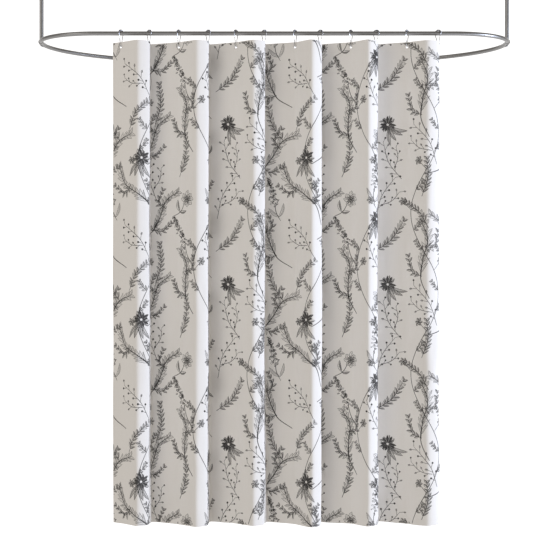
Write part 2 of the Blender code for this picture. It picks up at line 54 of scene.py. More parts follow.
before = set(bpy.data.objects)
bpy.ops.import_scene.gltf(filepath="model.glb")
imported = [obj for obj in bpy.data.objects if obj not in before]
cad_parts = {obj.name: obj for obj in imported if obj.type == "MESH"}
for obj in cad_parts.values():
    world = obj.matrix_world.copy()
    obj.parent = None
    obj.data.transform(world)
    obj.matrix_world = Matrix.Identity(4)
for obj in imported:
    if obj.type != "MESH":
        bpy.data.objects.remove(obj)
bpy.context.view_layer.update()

# Rail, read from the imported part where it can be
RAIL_LOW, RAIL_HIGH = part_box("rail_front")
BACK_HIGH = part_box("rail_back")[1]
TUBE_RADIUS = (RAIL_HIGH.z - RAIL_LOW.z) / 2
TUBE_WALL = 0.0012
RAIL_Z = (RAIL_HIGH.z + RAIL_LOW.z) / 2
RUN_Y = RAIL_LOW.y + TUBE_RADIUS
RAIL_HALF_WIDTH = 0.92
BACK_DEPTH = BACK_HIGH.y - TUBE_RADIUS
CORNER_REACH = 0.24
RAIL_SETBACK = 0.006
COUPLER_REACH = 0.036
COUPLER_INNER = TUBE_RADIUS + 0.0003
COUPLER_OUTER = COUPLER_INNER + 0.0013
SIDES = ((-1, "left"), (1, "right"))

# Roller rings
RING_COUNT = 12
RING_NUMBERS = [f"{i + 1:02d}" for i in range(RING_COUNT)]
BALL_COUNT = 5
BALL_STEP = math.radians(36)
BALL_PATH = 0.012
RING_DROP = 0.0497
FOOT_RADIUS = 0.0075
FOOT_FLARE = math.radians(18)
ARC_OVERRUN = math.radians(14)
CATCH_GAP = 0.0005
ODD_TWIST = math.radians(-30)
EVEN_TWIST = math.radians(38)

# The curtain, laid flat, and how it hangs
EDGE_MARGIN = 0.038
CLOTH_WIDTH = 1.829
CLOTH_HEIGHT = 1.829
HEADER_HEIGHT = 0.038
BUTTONHOLE_WIDTH = 0.0104
BUTTONHOLE_HEIGHT = 0.0100
BUTTONHOLE_DROP = 0.0135
CLOTH_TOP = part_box("curtain_panel")[1].z
CLOTH_PITCH = (CLOTH_WIDTH - 2 * EDGE_MARGIN) / (RING_COUNT - 1)
RING_SPAN = 1.2035
RING_MIDDLE = 0.020
# How far each ring has slid from even spacing, in millimetres
RING_DRIFT = (0, -3, 1, 2, -1, -4, 5, -10, -2, -16, -8, 0)
HEM_SPREAD = 0.06
HEM_SOFTENING = 0.25  # how much of the folds' overhang is lost by the hem
OVERHANG_LEFT = 1.14  # how far the folds overhang, at the first ring and at the last
OVERHANG_RIGHT = 1.02
STEADY_SHARE = 0.4  # of the softening, for the folds on the right
STEADY_FROM = 0.55  # where those folds begin, as a share of the span
# One fold from above, over two rings: (place, how far forward as a share of the fold's
# depth, how far it leads an even run as a share of the space between rings).
FOLD_FORM = (
    (0.00, 0.00, 0.00), (0.28, 0.56, 0.045), (0.53, 0.98, 0.09), (0.70, 0.86, 0.14),
    (0.84, 0.56, 0.17), (0.92, 0.28, 0.09), (1.00, 0.00, 0.00), (1.14, -0.52, -0.145),
    (1.27, -0.88, -0.25), (1.42, -0.80, -0.22), (1.70, -0.41, -0.11),
)
FACE = -0.00085  # the cloth's printed face, behind its middle surface
REVERSE = -0.00005
TAPE_NEAR = 0.00025
TAPE_FAR = 0.00085

# The print repeats across and down the cloth; these are in millimetres
REPEAT_ACROSS = 914.4
REPEAT_DOWN = 609.6
PRINT_START = (60, 600)  # one repeat starts here, from the cloth's top left corner
LINE_WEIGHT = 1.5  # multiplies the width of every drawn line
HEAP_SHARE = 1.35  # multiplies the number of florets in every heap
STROKE_STEP = 4.5
MOTIF_COLUMNS = 7
MOTIF_ROWS = 4
MOTIF_SIZE = 82
MOTIF_STRAY = 20  # how far a motif strays from its place on the grid
MOTIF_LEAN = 50  # how far it leans from upright, in degrees
COLUMN_TURN = 5  # places on in the list of motifs, from one column to the next
ROW_TURN = 2
TRAILS = 3  # stems that wander down the whole cloth
TRAIL_SWAY = 58
TRAIL_PHASE = 2.1  # radians from one trail's sway to the next
TRAIL_SHOOTS = 8
PRINT_EDGE = 1.5  # the print stops this far from the cloth's edges, in millimetres
BOLD_STROKE = 1.9  # wider strokes than this, in millimetres, show on the reverse


# ------------------------------------------------------------- material nodes


class Value:
    """A socket of a material. Arithmetic on it adds Math nodes."""

    def __init__(self, tree, socket):
        self.tree = tree
        self.socket = socket

    def math(self, operation, *others):
        node = self.tree.nodes.new("ShaderNodeMath")
        node.operation = operation
        for slot, item in zip(node.inputs, (self, *others)):
            feed(self.tree, slot, item)
        return Value(self.tree, node.outputs[0])

    def __add__(self, other):
        return self.math("ADD", other)

    def __mul__(self, other):
        return self.math("MULTIPLY", other)

    def __rsub__(self, other):
        return (self * -1).math("ADD", other)

    __radd__ = __add__
    __rmul__ = __mul__


def feed(tree, socket, item):
    """Link a Value to a socket, or set the socket's own value."""
    if isinstance(item, Value):
        tree.links.new(item.socket, socket)
    else:
        socket.default_value = item


class Finish:
    """A node-based material, built up from its Principled shader."""

    def __init__(self, name, **fixed):
        self.material = bpy.data.materials.new(name)
        self.material.use_nodes = True
        self.tree = self.material.node_tree
        self.shader = self.tree.nodes["Principled BSDF"]
        for socket, value in fixed.items():
            self.set(socket.replace("_", " "), value)

    def set(self, socket, item):
        feed(self.tree, self.shader.inputs[socket], item)

    def node(self, kind, settings=None, sockets=None, out=0):
        """Add a node: its settings first, then what goes into its sockets."""
        node = self.tree.nodes.new(kind)
        for key, value in (settings or {}).items():
            if key == "stops":
                ramp = node.color_ramp
                while len(ramp.elements) < len(value):
                    ramp.elements.new(0.5)
                for element, (position, colour) in zip(ramp.elements, value):
                    element.position = position
                    element.color = colour
            else:
                setattr(node, key, value)
        for key, value in (sockets or {}).items():
            feed(self.tree, node.inputs[key], value)
        return Value(self.tree, node.outputs[out])

    def place(self, scale, by_uv=True):
        """Coordinates of the piece, by its UV map or by object, at a scale."""
        out = 2 if by_uv else 3
        where = self.node("ShaderNodeTexCoord", out=out)
        return self.node("ShaderNodeMapping", sockets={"Vector": where, "Scale": scale})

    def noise(self, where, scale, detail=3.0, rough=0.5):
        sockets = {"Vector": where, "Scale": scale, "Detail": detail, "Roughness": rough}
        return self.node("ShaderNodeTexNoise", sockets=sockets)

    def wave(self, where, direction, scale):
        settings = {"wave_type": "BANDS", "bands_direction": direction}
        sockets = {"Vector": where, "Scale": scale, "Distortion": 0.0}
        return self.node("ShaderNodeTexWave", settings, sockets, out=1)

    def span(self, value, low, high, to_low, to_high):
        """Move a range of values to another range, and hold it there."""
        sockets = {"Value": value, "From Min": low, "From Max": high,
                   "To Min": to_low, "To Max": to_high}
        return self.node("ShaderNodeMapRange", {"clamp": True}, sockets)

    def blend(self, share, first, second):
        """Mix two colours by a share."""
        return self.node("ShaderNodeMix", {"data_type": "RGBA"},
                         {0: share, 6: first, 7: second}, out=2)

    def bump(self, height, strength, distance):
        sockets = {"Height": height, "Strength": strength, "Distance": distance}
        self.set("Normal", self.node("ShaderNodeBump", sockets=sockets))


def shade(colour, times):
    return (*[channel * times for channel in colour[:3]], 1)


def brushed_nickel(colour):
    """Satin metal with fine brushing round the tube and faint handling marks."""
    finish = Finish("brushed_nickel", Metallic=1.0, IOR=1.6)
    streaks = finish.noise(finish.place((900, 3, 1)), 1.0, 4.0, 0.6)
    marks = finish.noise(finish.place((14, 14, 14), by_uv=False), 1.0, 3.0, 0.55)
    finish.set("Roughness", finish.span(streaks * 0.7 + marks * 0.3, 0.3, 0.7, 0.24, 0.42))
    finish.set("Base Color", finish.blend(
        finish.span(streaks, 0.3, 0.7, 0, 1), shade(colour, 0.86), shade(colour, 1.1)))
    finish.bump(streaks, 0.10, 0.0002)
    return finish.material


def chrome(colour):
    """Bright plating with faint rubbing."""
    finish = Finish("polished_chrome", Metallic=1.0)
    rub = finish.noise(finish.place((90, 90, 90), by_uv=False), 1.0, 4.0, 0.6)
    finish.set("Roughness", finish.span(rub, 0.35, 0.7, 0.06, 0.16))
    finish.set("Base Color", finish.blend(rub, shade(colour, 0.92), shade(colour, 1.04)))
    finish.bump(rub, 0.04, 0.0002)
    return finish.material


def screw_steel(colour):
    finish = Finish("screw_steel", Metallic=1.0)
    grain = finish.noise(finish.place((600, 600, 600), by_uv=False), 1.0, 3.0, 0.6)
    finish.set("Roughness", finish.span(grain, 0.3, 0.7, 0.30, 0.48))
    finish.set("Base Color", finish.blend(grain, shade(colour, 0.8), shade(colour, 1.15)))
    finish.bump(grain, 0.08, 0.0002)
    return finish.material


def woven(finish, threads, slub_share):
    """Plain weave from two sets of threads, as a height, with uneven slubs."""
    where = finish.place((CLOTH_WIDTH, CLOTH_HEIGHT, 1))
    warp = finish.wave(where, "X", threads)
    weft = finish.wave(where, "Y", threads)
    over = warp * weft + (1 - warp) * (1 - weft)
    down = finish.noise(finish.place((CLOTH_WIDTH * 520, CLOTH_HEIGHT * 14, 1)), 1.0, 3.0)
    across = finish.noise(finish.place((CLOTH_WIDTH * 14, CLOTH_HEIGHT * 520, 1)), 1.0, 3.0)
    slub = (down + across) * 0.5
    return over * (1 - slub_share) + slub * slub_share, slub


def printed_cotton(colour):
    """Plain-woven cloth, off-white, with slubs and a soft sheen."""
    finish = Finish("printed_cotton", Sheen_Weight=0.12, Sheen_Roughness=0.45,
                    Specular_IOR_Level=0.25)
    weave, slub = woven(finish, 260.0, 0.6)
    cloud = finish.noise(finish.place((5, 4, 1)), 1.0, 3.0, 0.5)
    tone = finish.span(slub * 0.7 + cloud * 0.3, 0.35, 0.65, 0, 1)
    finish.set("Base Color", finish.blend(tone, shade(colour, 0.965), shade(colour, 1.0)))
    finish.set("Roughness", finish.span(slub, 0.35, 0.65, 0.78, 0.9))
    finish.bump(weave, 0.28, 0.0004)
    return finish.material


def ribbed_tape(colour):
    """The stiff band behind the top hem, ribbed across."""
    finish = Finish("header_tape", Specular_IOR_Level=0.2)
    where = finish.place((CLOTH_WIDTH, CLOTH_HEIGHT, 1))
    ribs = finish.wave(where, "X", 130.0)
    fuzz = finish.noise(finish.place((900, 900, 1)), 1.0, 2.0)
    finish.set("Base Color", finish.blend(
        finish.span(ribs, 0, 1, 0, 1), shade(colour, 0.93), shade(colour, 1.0)))
    finish.set("Roughness", finish.span(fuzz, 0.3, 0.7, 0.82, 0.94))
    finish.bump(ribs * 0.8 + fuzz * 0.2, 0.4, 0.0005)
    return finish.material


def sewing_thread(colour):
    finish = Finish("sewing_thread", Specular_IOR_Level=0.3)
    twist = finish.noise(finish.place((2600, 2600, 2600), by_uv=False), 1.0, 2.0)
    finish.set("Base Color", finish.blend(twist, shade(colour, 0.86), shade(colour, 1.05)))
    finish.set("Roughness", finish.span(twist, 0.3, 0.7, 0.55, 0.75))
    finish.bump(twist, 0.2, 0.0003)
    return finish.material


def print_ink(name, colour, faded, low, high):
    """Screen-printed ink that lets some of the cloth through."""
    finish = Finish(name, Specular_IOR_Level=0.15)
    dry = finish.noise(finish.place((420, 420, 420), by_uv=False), 1.0, 4.0, 0.65)
    worn = finish.noise(finish.place((22, 22, 22), by_uv=False), 1.0, 3.0, 0.5)
    fade = finish.span(dry * 0.6 + worn * 0.4, 0.36, 0.66, low, high)
    finish.set("Base Color", finish.blend(fade, (*colour[:3], 1), (*faded[:3], 1)))
    finish.set("Roughness", finish.span(dry, 0.3, 0.7, 0.8, 0.92))
    finish.bump(dry, 0.12, 0.0003)
    return finish.material


# ---------------------------------------------------------------- mesh helpers


def put(name, mesh, material, body=None, replaced=()):
    """Link a mesh as a finished piece that rides on a body."""
    thing = bpy.data.objects.new(name, mesh)
    bpy.context.scene.collection.objects.link(thing)
    if material and not mesh.materials:
        mesh.materials.append(material)
    if body:
        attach(thing, body)
    if replaced:
        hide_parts(*replaced)
    return thing


SHARP_ANGLE = math.radians(42)


def mesh_of(name, points, faces, smooth=True, uv=None):
    """A mesh from arrays; faces may mix three and four corners."""
    mesh = bpy.data.meshes.new(name)
    mesh.from_pydata([tuple(p) for p in points], [], [tuple(f) for f in faces])
    if uv is not None:
        layer = mesh.uv_layers.new(name="UVMap")
        corners = np.empty(len(mesh.loops), np.int32)
        mesh.loops.foreach_get("vertex_index", corners)
        layer.data.foreach_set("uv", np.asarray(uv, np.float32)[corners].ravel())
    if smooth:
        mesh.shade_smooth()
        mesh.set_sharp_from_angle(angle=SHARP_ANGLE)
    mesh.validate()
    return mesh


def outward(mesh):
    """Turn a closed mesh's faces outwards."""
    shape = bmesh.new()
    shape.from_mesh(mesh)
    bmesh.ops.remove_doubles(shape, verts=shape.verts, dist=1e-7)
    bmesh.ops.recalc_face_normals(shape, faces=shape.faces)
    shape.to_mesh(mesh)
    shape.free()
    return mesh


def unit(rows):
    return rows / np.linalg.norm(rows, axis=-1, keepdims=True)


def tangents(path):
    ahead = np.vstack([path[1:], path[-1:]])
    behind = np.vstack([path[:1], path[:-1]])
    return unit(ahead - behind)


def swept(path, normal, rings, sides, closed_ends=False, close_walls=False):
    """Skin round a flat path. rings lists the radius of each wall, one for the whole path or
    one for each point.
    """
    path = np.asarray(path, float)
    along = tangents(path)
    across = np.tile(np.asarray(normal, float), (len(path), 1))
    up = np.cross(along, across)
    angle = np.linspace(0, 2 * math.pi, sides, endpoint=False)
    run = np.concatenate([[0], np.cumsum(np.linalg.norm(np.diff(path, axis=0), axis=1))])
    points, faces, uv = [], [], []
    walls = []
    for radii in rings:
        radii = np.broadcast_to(radii, len(path))
        start = len(points)
        for i in range(len(path)):
            loop = (path[i] + radii[i] * (np.outer(np.cos(angle), across[i])
                                          + np.outer(np.sin(angle), up[i])))
            points.extend(loop)
            uv.extend([(run[i], k / sides) for k in range(sides)])
        walls.append(start)
        for i in range(len(path) - 1):
            a = start + i * sides
            for k in range(sides):
                j = (k + 1) % sides
                faces.append((a + k, a + j, a + sides + j, a + sides + k))
    last = (len(path) - 1) * sides
    if close_walls:
        for end in (0, last):
            for k in range(sides):
                j = (k + 1) % sides
                faces.append((walls[0] + end + k, walls[0] + end + j,
                              walls[1] + end + j, walls[1] + end + k))
    if closed_ends:
        faces.append(tuple(range(sides)))
        faces.append(tuple(range(last, last + sides)))
    return points, faces, uv


def swept_mesh(name, *args, **kwargs):
    points, faces, uv = swept(*args, **kwargs)
    return outward(mesh_of(name, points, faces, uv=uv))


def turned(name, profile, centre, sides, axis=(0, 0, 1)):
    """Spin (radius, height) points about an axis through a centre, closed at both ends."""
    angle = np.linspace(0, 2 * math.pi, sides, endpoint=False)
    turn = Vector((0, 0, 1)).rotation_difference(Vector(axis)).to_matrix()
    points, faces, uv, loops = [], [], [], []
    for radius, height in profile:
        if radius < 1e-7:
            loops.append([len(points)])
            points.append((0, 0, height))
            uv.append((0.5, height))
            continue
        loops.append(list(range(len(points), len(points) + sides)))
        for k, a in enumerate(angle):
            points.append((radius * math.cos(a), radius * math.sin(a), height))
            uv.append((k / sides * radius * 6, height + radius))
    for first, second in zip(loops, loops[1:]):
        for k in range(sides):
            j = (k + 1) % sides
            corners = [first[k % len(first)], first[j % len(first)],
                       second[j % len(second)], second[k % len(second)]]
            kept = list(dict.fromkeys(corners))
            if len(kept) > 2:
                faces.append(kept)
    placed = [turn @ Vector(p) + Vector(centre) for p in points]
    return outward(mesh_of(name, placed, faces, uv=uv))


# -------------------------------------------------------------- geometry nodes


def scatter_tree(name, inputs):
    """A node group that sets a form on points and turns it along their lay."""
    tree = bpy.data.node_groups.new(name, "GeometryNodeTree")
    face = tree.interface
    face.new_socket("Geometry", in_out="INPUT", socket_type="NodeSocketGeometry")
    for label, kind in inputs:
        face.new_socket(label, in_out="INPUT", socket_type=kind)
    face.new_socket("Geometry", in_out="OUTPUT", socket_type="NodeSocketGeometry")
    nodes, link = tree.nodes, tree.links.new
    enter, leave = nodes.new("NodeGroupInput"), nodes.new("NodeGroupOutput")
    lay = nodes.new("GeometryNodeInputNamedAttribute")
    lay.data_type = "FLOAT_VECTOR"
    lay.inputs["Name"].default_value = "lay"
    turn = nodes.new("FunctionNodeAlignRotationToVector")
    turn.axis = "X"
    spread = nodes.new("GeometryNodeInstanceOnPoints")
    real = nodes.new("GeometryNodeRealizeInstances")
    smooth = nodes.new("GeometryNodeSetShadeSmooth")
    paint = nodes.new("GeometryNodeSetMaterial")
    link(lay.outputs["Attribute"], turn.inputs["Vector"])
    link(turn.outputs["Rotation"], spread.inputs["Rotation"])
    link(enter.outputs["Geometry"], spread.inputs["Points"])
    link(spread.outputs["Instances"], real.inputs["Geometry"])
    link(real.outputs["Geometry"], smooth.inputs["Geometry"])
    link(smooth.outputs["Geometry"], paint.inputs["Geometry"])
    link(enter.outputs["Material"], paint.inputs["Material"])
    link(paint.outputs["Geometry"], leave.inputs["Geometry"])
    return tree, enter, spread


def stitch_tree():
    """Stitches: a small rounded form, stretched to a length and a width."""
    tree, enter, spread = scatter_tree("stitches", [
        ("Length", "NodeSocketFloat"), ("Width", "NodeSocketFloat"),
        ("Material", "NodeSocketMaterial")])
    form = tree.nodes.new("GeometryNodeMeshIcoSphere")
    form.inputs["Radius"].default_value = 0.5
    form.inputs["Subdivisions"].default_value = 1
    size = tree.nodes.new("ShaderNodeCombineXYZ")
    tree.links.new(enter.outputs["Length"], size.inputs["X"])
    tree.links.new(enter.outputs["Width"], size.inputs["Y"])
    tree.links.new(enter.outputs["Width"], size.inputs["Z"])
    tree.links.new(form.outputs["Mesh"], spread.inputs["Instance"])
    tree.links.new(size.outputs["Vector"], spread.inputs["Scale"])
    return tree


def form_tree():
    """Copies of one made form, such as a roller ball or a screw."""
    tree, enter, spread = scatter_tree("copies", [
        ("Form", "NodeSocketObject"), ("Material", "NodeSocketMaterial")])
    form = tree.nodes.new("GeometryNodeObjectInfo")
    form.transform_space = "ORIGINAL"
    tree.links.new(enter.outputs["Form"], form.inputs["Object"])
    tree.links.new(form.outputs["Geometry"], spread.inputs["Instance"])
    return tree


def scattered(name, tree, points, lays, values):
    """Run a scatter tree over points and give back the plain mesh."""
    mesh = bpy.data.meshes.new(name + "_points")
    mesh.from_pydata([tuple(p) for p in points], [], [])
    lay = mesh.attributes.new("lay", "FLOAT_VECTOR", "POINT")
    lay.data.foreach_set("vector", np.asarray(lays, np.float32).ravel())
    seed = bpy.data.objects.new(name + "_points", mesh)
    bpy.context.scene.collection.objects.link(seed)
    modifier = seed.modifiers.new(name, "NODES")
    modifier.node_group = tree
    for item in tree.interface.items_tree:
        if item.in_out == "INPUT" and item.name in values:
            modifier[item.identifier] = values[item.name]
    bpy.context.view_layer.update()
    ready = seed.evaluated_get(bpy.context.evaluated_depsgraph_get())
    result = bpy.data.meshes.new_from_object(ready)
    result.name = name
    seed.modifiers.clear()
    bpy.data.objects.remove(seed)
    return result


# ------------------------------------------------------------ how the cloth hangs


def ring_x(index):
    pitch = RING_SPAN / (RING_COUNT - 1)
    drift = RING_DRIFT[index] / 1000
    return RING_MIDDLE - RING_SPAN / 2 + pitch * index + drift


RING_X = np.array([ring_x(i) for i in range(RING_COUNT)])
MARGIN = EDGE_MARGIN / CLOTH_PITCH
LAST = RING_COUNT - 1


def fold_form(station):
    """Read the form of the folds smoothly at ring numbers, as (forward, lead)."""
    form = np.array(FOLD_FORM)
    marks = np.vstack([form[-1] - (2, 0, 0), form, form[0] + (2, 0, 0),
                       form[1] + (2, 0, 0)])
    place = np.mod(station, 2)
    first = np.clip(np.searchsorted(marks[:, 0], place, side="right") - 1, 1, len(form))
    before, start, end, after = (np.moveaxis(marks[first + i], -1, 0)
                                 for i in (-1, 0, 1, 2))
    span = end[0] - start[0]
    start_slope = (end - before) * span / (end[0] - before[0])
    end_slope = (after - start) * span / (after[0] - start[0])
    t = (place - start[0]) / span
    point = (start * (2 * t**3 - 3 * t**2 + 1) + start_slope * (t**3 - 2 * t**2 + t)
             + end * (3 * t**2 - 2 * t**3) + end_slope * (t**3 - t**2))
    return point[1], point[2]


def overhang(station, fall):
    """How strongly a fold overhangs; fall is 0 at the top edge and 1 at the hem."""
    share = np.clip(station / LAST, 0, 1)
    softening = HEM_SOFTENING * np.where(share > STEADY_FROM, STEADY_SHARE, 1)
    full = OVERHANG_LEFT + (OVERHANG_RIGHT - OVERHANG_LEFT) * share
    return full * (1 - softening * fall)


def half_fold_depth(index):
    """The depth that uses up the cloth between two buttonholes."""
    run = RING_X[index + 1] - RING_X[index]
    place = index + np.linspace(0, 1, 97)
    forward, lead = fold_form(place)
    x = run * (place - index + lead * overhang(place, 0))
    shallow, deep = 0.0, CLOTH_PITCH
    for _ in range(40):
        depth = (shallow + deep) / 2
        if np.hypot(np.diff(x), np.diff(depth * forward)).sum() < CLOTH_PITCH:
            shallow = depth
        else:
            deep = depth
    return depth


DEPTHS = np.array([half_fold_depth(index) for index in range(LAST)])


def fold_line(station, fall):
    """The folded cloth from above, from the first buttonhole to the last."""
    place = np.clip(station - 0.5, 0, len(DEPTHS) - 1)
    before = np.minimum(place.astype(int), len(DEPTHS) - 2)
    share = (1 - np.cos(math.pi * (place - before))) / 2
    depth = DEPTHS[before] * (1 - share) + DEPTHS[before + 1] * share
    forward, lead = fold_form(station)
    x = np.interp(station, np.arange(RING_COUNT), RING_X)
    return np.array([x + lead * overhang(station, fall) * RING_SPAN / LAST,
                     RUN_Y - depth * (1 + HEM_SPREAD * fall) * forward])


def plan(station, fall):
    """The folded cloth from above, by ring number; fall is 1 at the hem.

    Past the end buttonholes the cloth runs straight on to its side edges.
    """
    station, fall = np.broadcast_arrays(np.asarray(station, float), fall)
    inside = np.clip(station, 0, LAST)
    place = fold_line(inside, fall)
    inward = np.where(station < inside, 0.002, -0.002)
    way = place - fold_line(inside + inward, fall)
    beyond = np.abs(station - inside) * CLOTH_PITCH
    return place + way / np.hypot(*way) * beyond


STATION_STEPS = 260  # steps to a ring's share of the cloth, when its length is added up
STATION_ROWS = 13


def station_table():
    """Ring numbers for distances along the cloth, at even heights from top to hem."""
    fine = np.linspace(-MARGIN, LAST + MARGIN, RING_COUNT * STATION_STEPS + 1)
    along = np.arange(0, CLOTH_WIDTH * 1000 + 1) / 1000
    rows = []
    for fall in np.linspace(0, 1, STATION_ROWS):
        x, y = plan(fine, fall)
        run = np.concatenate([[0], np.cumsum(np.hypot(np.diff(x), np.diff(y)))])
        marks = np.concatenate([[-MARGIN], np.arange(RING_COUNT), [LAST + MARGIN]])
        flat = np.concatenate([[0], EDGE_MARGIN + CLOTH_PITCH * np.arange(RING_COUNT),
                               [CLOTH_WIDTH]])
        at = np.interp(marks, fine, run)
        rows.append(np.interp(along, np.interp(run, at, flat), fine))
    return np.array(rows)


STATIONS = station_table()


def station_at(across, fall):
    high = np.clip(fall, 0, 1) * (len(STATIONS) - 1)
    row = np.minimum(high.astype(int), len(STATIONS) - 2)
    wide = np.clip(across * 1000, 0, STATIONS.shape[1] - 1.001)
    column = wide.astype(int)
    down, over = high - row, wide - column
    first = STATIONS[row, column] * (1 - over) + STATIONS[row, column + 1] * over
    second = STATIONS[row + 1, column] * (1 - over) + STATIONS[row + 1, column + 1] * over
    return first * (1 - down) + second * down


def ripple_field(seed, columns, rows):
    return np.random.default_rng(seed).normal(0, 1, (rows, columns))


RIPPLES = ((ripple_field(3, 26, 9), 0.0011), (ripple_field(8, 60, 20), 0.0006))


def eased(field, across, down):
    """Read a field of hand-sized bumps smoothly, at shares across and down the cloth."""
    rows, columns = field.shape
    x = np.clip(across, 0, 0.9999) * (columns - 1)
    y = np.clip(down, 0, 0.9999) * (rows - 1)
    i, j = x.astype(int), y.astype(int)
    u, v = x - i, y - j
    u, v = u * u * (3 - 2 * u), v * v * (3 - 2 * v)
    top = field[j, i] * (1 - u) + field[j, i + 1] * u
    foot = field[j + 1, i] * (1 - u) + field[j + 1, i + 1] * u
    return top * (1 - v) + foot * v


# Soft wrinkles: (across, down) of the middle in mm, length, width and height in mm,
# and how far the wrinkle leans from upright in degrees.
WRINKLES = (
    (1440, 1640, 190, 16, 3.0, 28), (1465, 1560, 150, 14, 2.2, 24),
    (1415, 1730, 150, 15, 2.4, 33), (1300, 1690, 170, 18, 1.8, -24),
    (1125, 1650, 210, 20, 1.9, -18), (1010, 1520, 190, 22, 1.4, 15),
    (830, 1690, 220, 20, 2.0, -16), (700, 1600, 240, 24, 1.6, 12),
    (515, 1700, 210, 18, 2.0, -20), (420, 1540, 200, 22, 1.4, 18),
    (260, 1680, 240, 20, 2.0, 14), (120, 1610, 230, 18, 1.6, -12),
    (1700, 1500, 260, 20, 2.2, -10), (1745, 1240, 240, 18, 1.6, 12),
    (1600, 1080, 220, 24, 1.2, -14), (90, 1180, 260, 20, 1.4, 9),
    (330, 960, 240, 26, 1.2, -8), (960, 900, 260, 24, 1.0, 10),
    (1260, 760, 220, 22, 1.1, -12), (640, 700, 240, 24, 1.0, 8),
    (80, 420, 200, 16, 1.4, -10), (1730, 560, 220, 18, 1.4, 10),
    (480, 330, 160, 18, 1.0, 12), (1090, 300, 160, 18, 1.0, -12),
)


def ripples(across, drop):
    """How far the cloth's surface strays from its smooth folds."""
    fall = drop / CLOTH_HEIGHT
    calm = np.clip((drop - 0.03) / 0.25, 0, 1)
    out = np.zeros_like(across)
    for field, height in RIPPLES:
        out += eased(field, across / CLOTH_WIDTH, fall) * height * (0.5 + fall)
    for x, y, length, width, height, lean in WRINKLES:
        turn = math.radians(lean)
        u, v = across * 1000 - x, drop * 1000 - y
        side = (u * math.cos(turn) + v * math.sin(turn)) / width
        down = (v * math.cos(turn) - u * math.sin(turn)) / (length / 2)
        out -= height / 1000 * np.exp(-side**2 - down**2)
    return out * calm


CORNER_LIFT = 0.011  # how far the hem rises at its right corner
CORNER_LIFT_FROM = 1.62
HEM_WAVE = 0.002


def cloth_at(across, drop, behind):
    """Points of the hung cloth: distance across it, down it, and behind its middle."""
    across, drop, behind = np.broadcast_arrays(
        *[np.asarray(item, float) for item in (across, drop, behind)])
    fall = drop / CLOTH_HEIGHT
    q = station_at(across, fall)
    x, y = plan(q, fall)
    ahead, after = plan(q + 0.002, fall), plan(q - 0.002, fall)
    way = unit(np.stack([ahead[0] - after[0], ahead[1] - after[1]], axis=-1))
    off = behind + ripples(across, drop)
    lift = CORNER_LIFT * np.clip((across - CORNER_LIFT_FROM) / 0.2, 0, 1)**2 * fall
    lift += HEM_WAVE * np.sin(across * 9 + 1) * fall**2
    return np.stack([x - way[..., 1] * off, y + way[..., 0] * off,
                     CLOTH_TOP - drop + lift * np.clip(fall, 0, 1)], axis=-1)


def ring_across(index):
    return EDGE_MARGIN + CLOTH_PITCH * index


def stops(*pairs):
    """Distances: each pair is where a run ends and how many steps it takes."""
    out = [pairs[0][0]]
    for end, steps in pairs[1:]:
        out.extend(np.linspace(out[-1], end, steps + 1)[1:])
    return np.array(out)


def across_stops(fine):
    """Columns of the cloth, close together, with two across each buttonhole."""
    pairs = [(0, 0)]
    for i in range(RING_COUNT):
        near = ring_across(i) - BUTTONHOLE_WIDTH / 2
        pairs.append((near, max(2, fine // 4) if i == 0 else fine))
        pairs.append((near + BUTTONHOLE_WIDTH, 2))
    pairs.append((CLOTH_WIDTH, max(2, fine // 4)))
    return stops(*pairs)


def in_buttonhole(across, drop):
    spot = (across - EDGE_MARGIN) / CLOTH_PITCH
    near = np.abs(spot - np.round(spot)) * CLOTH_PITCH < BUTTONHOLE_WIDTH / 2
    depth = drop - BUTTONHOLE_DROP
    return near & (depth > 0) & (depth < BUTTONHOLE_HEIGHT)


def sheet_mesh(name, across, drops, near, far):
    """A closed sheet of cloth between two depths, with the buttonholes cut out."""
    s, d = np.meshgrid(across, drops)
    front, back = cloth_at(s, d, near), cloth_at(s, d, far)
    rows, columns = s.shape
    points = np.concatenate([front.reshape(-1, 3), back.reshape(-1, 3)])
    flat = np.stack([s / CLOTH_WIDTH, 1 - d / CLOTH_HEIGHT], axis=-1).reshape(-1, 2)
    uv = np.concatenate([flat, flat])
    middle_s = (s[:-1, :-1] + s[1:, 1:]) / 2
    middle_d = (d[:-1, :-1] + d[1:, 1:]) / 2
    solid = ~in_buttonhole(middle_s, middle_d)
    step = rows * columns
    index = np.arange(step).reshape(rows, columns)
    a, b = index[:-1, :-1], index[:-1, 1:]
    c, e = index[1:, 1:], index[1:, :-1]
    fronts = np.stack([e, c, b, a], axis=-1)[solid]
    backs = np.stack([a, b, c, e], axis=-1)[solid] + step
    faces = [tuple(f) for f in np.concatenate([fronts, backs])]
    edge = np.pad(solid, 1)
    for (down, over), (i, j), (k, m) in (
            ((0, 1), (0, 0), (0, 1)), ((2, 1), (1, 1), (1, 0)),
            ((1, 0), (1, 0), (0, 0)), ((1, 2), (0, 1), (1, 1))):
        beside = edge[down:down + rows - 1, over:over + columns - 1]
        for row, column in np.argwhere(solid & ~beside):
            p, q = index[row + i, column + j], index[row + k, column + m]
            faces.append((p, q, q + step, p + step))
    used = np.unique(np.concatenate([np.array(f) for f in faces]))
    renamed = np.full(len(points), -1)
    renamed[used] = np.arange(len(used))
    faces = [tuple(renamed[list(f)]) for f in faces]
    return outward(mesh_of(name, points[used], faces, uv=uv[used]))


# ------------------------------------------------------------------- the print


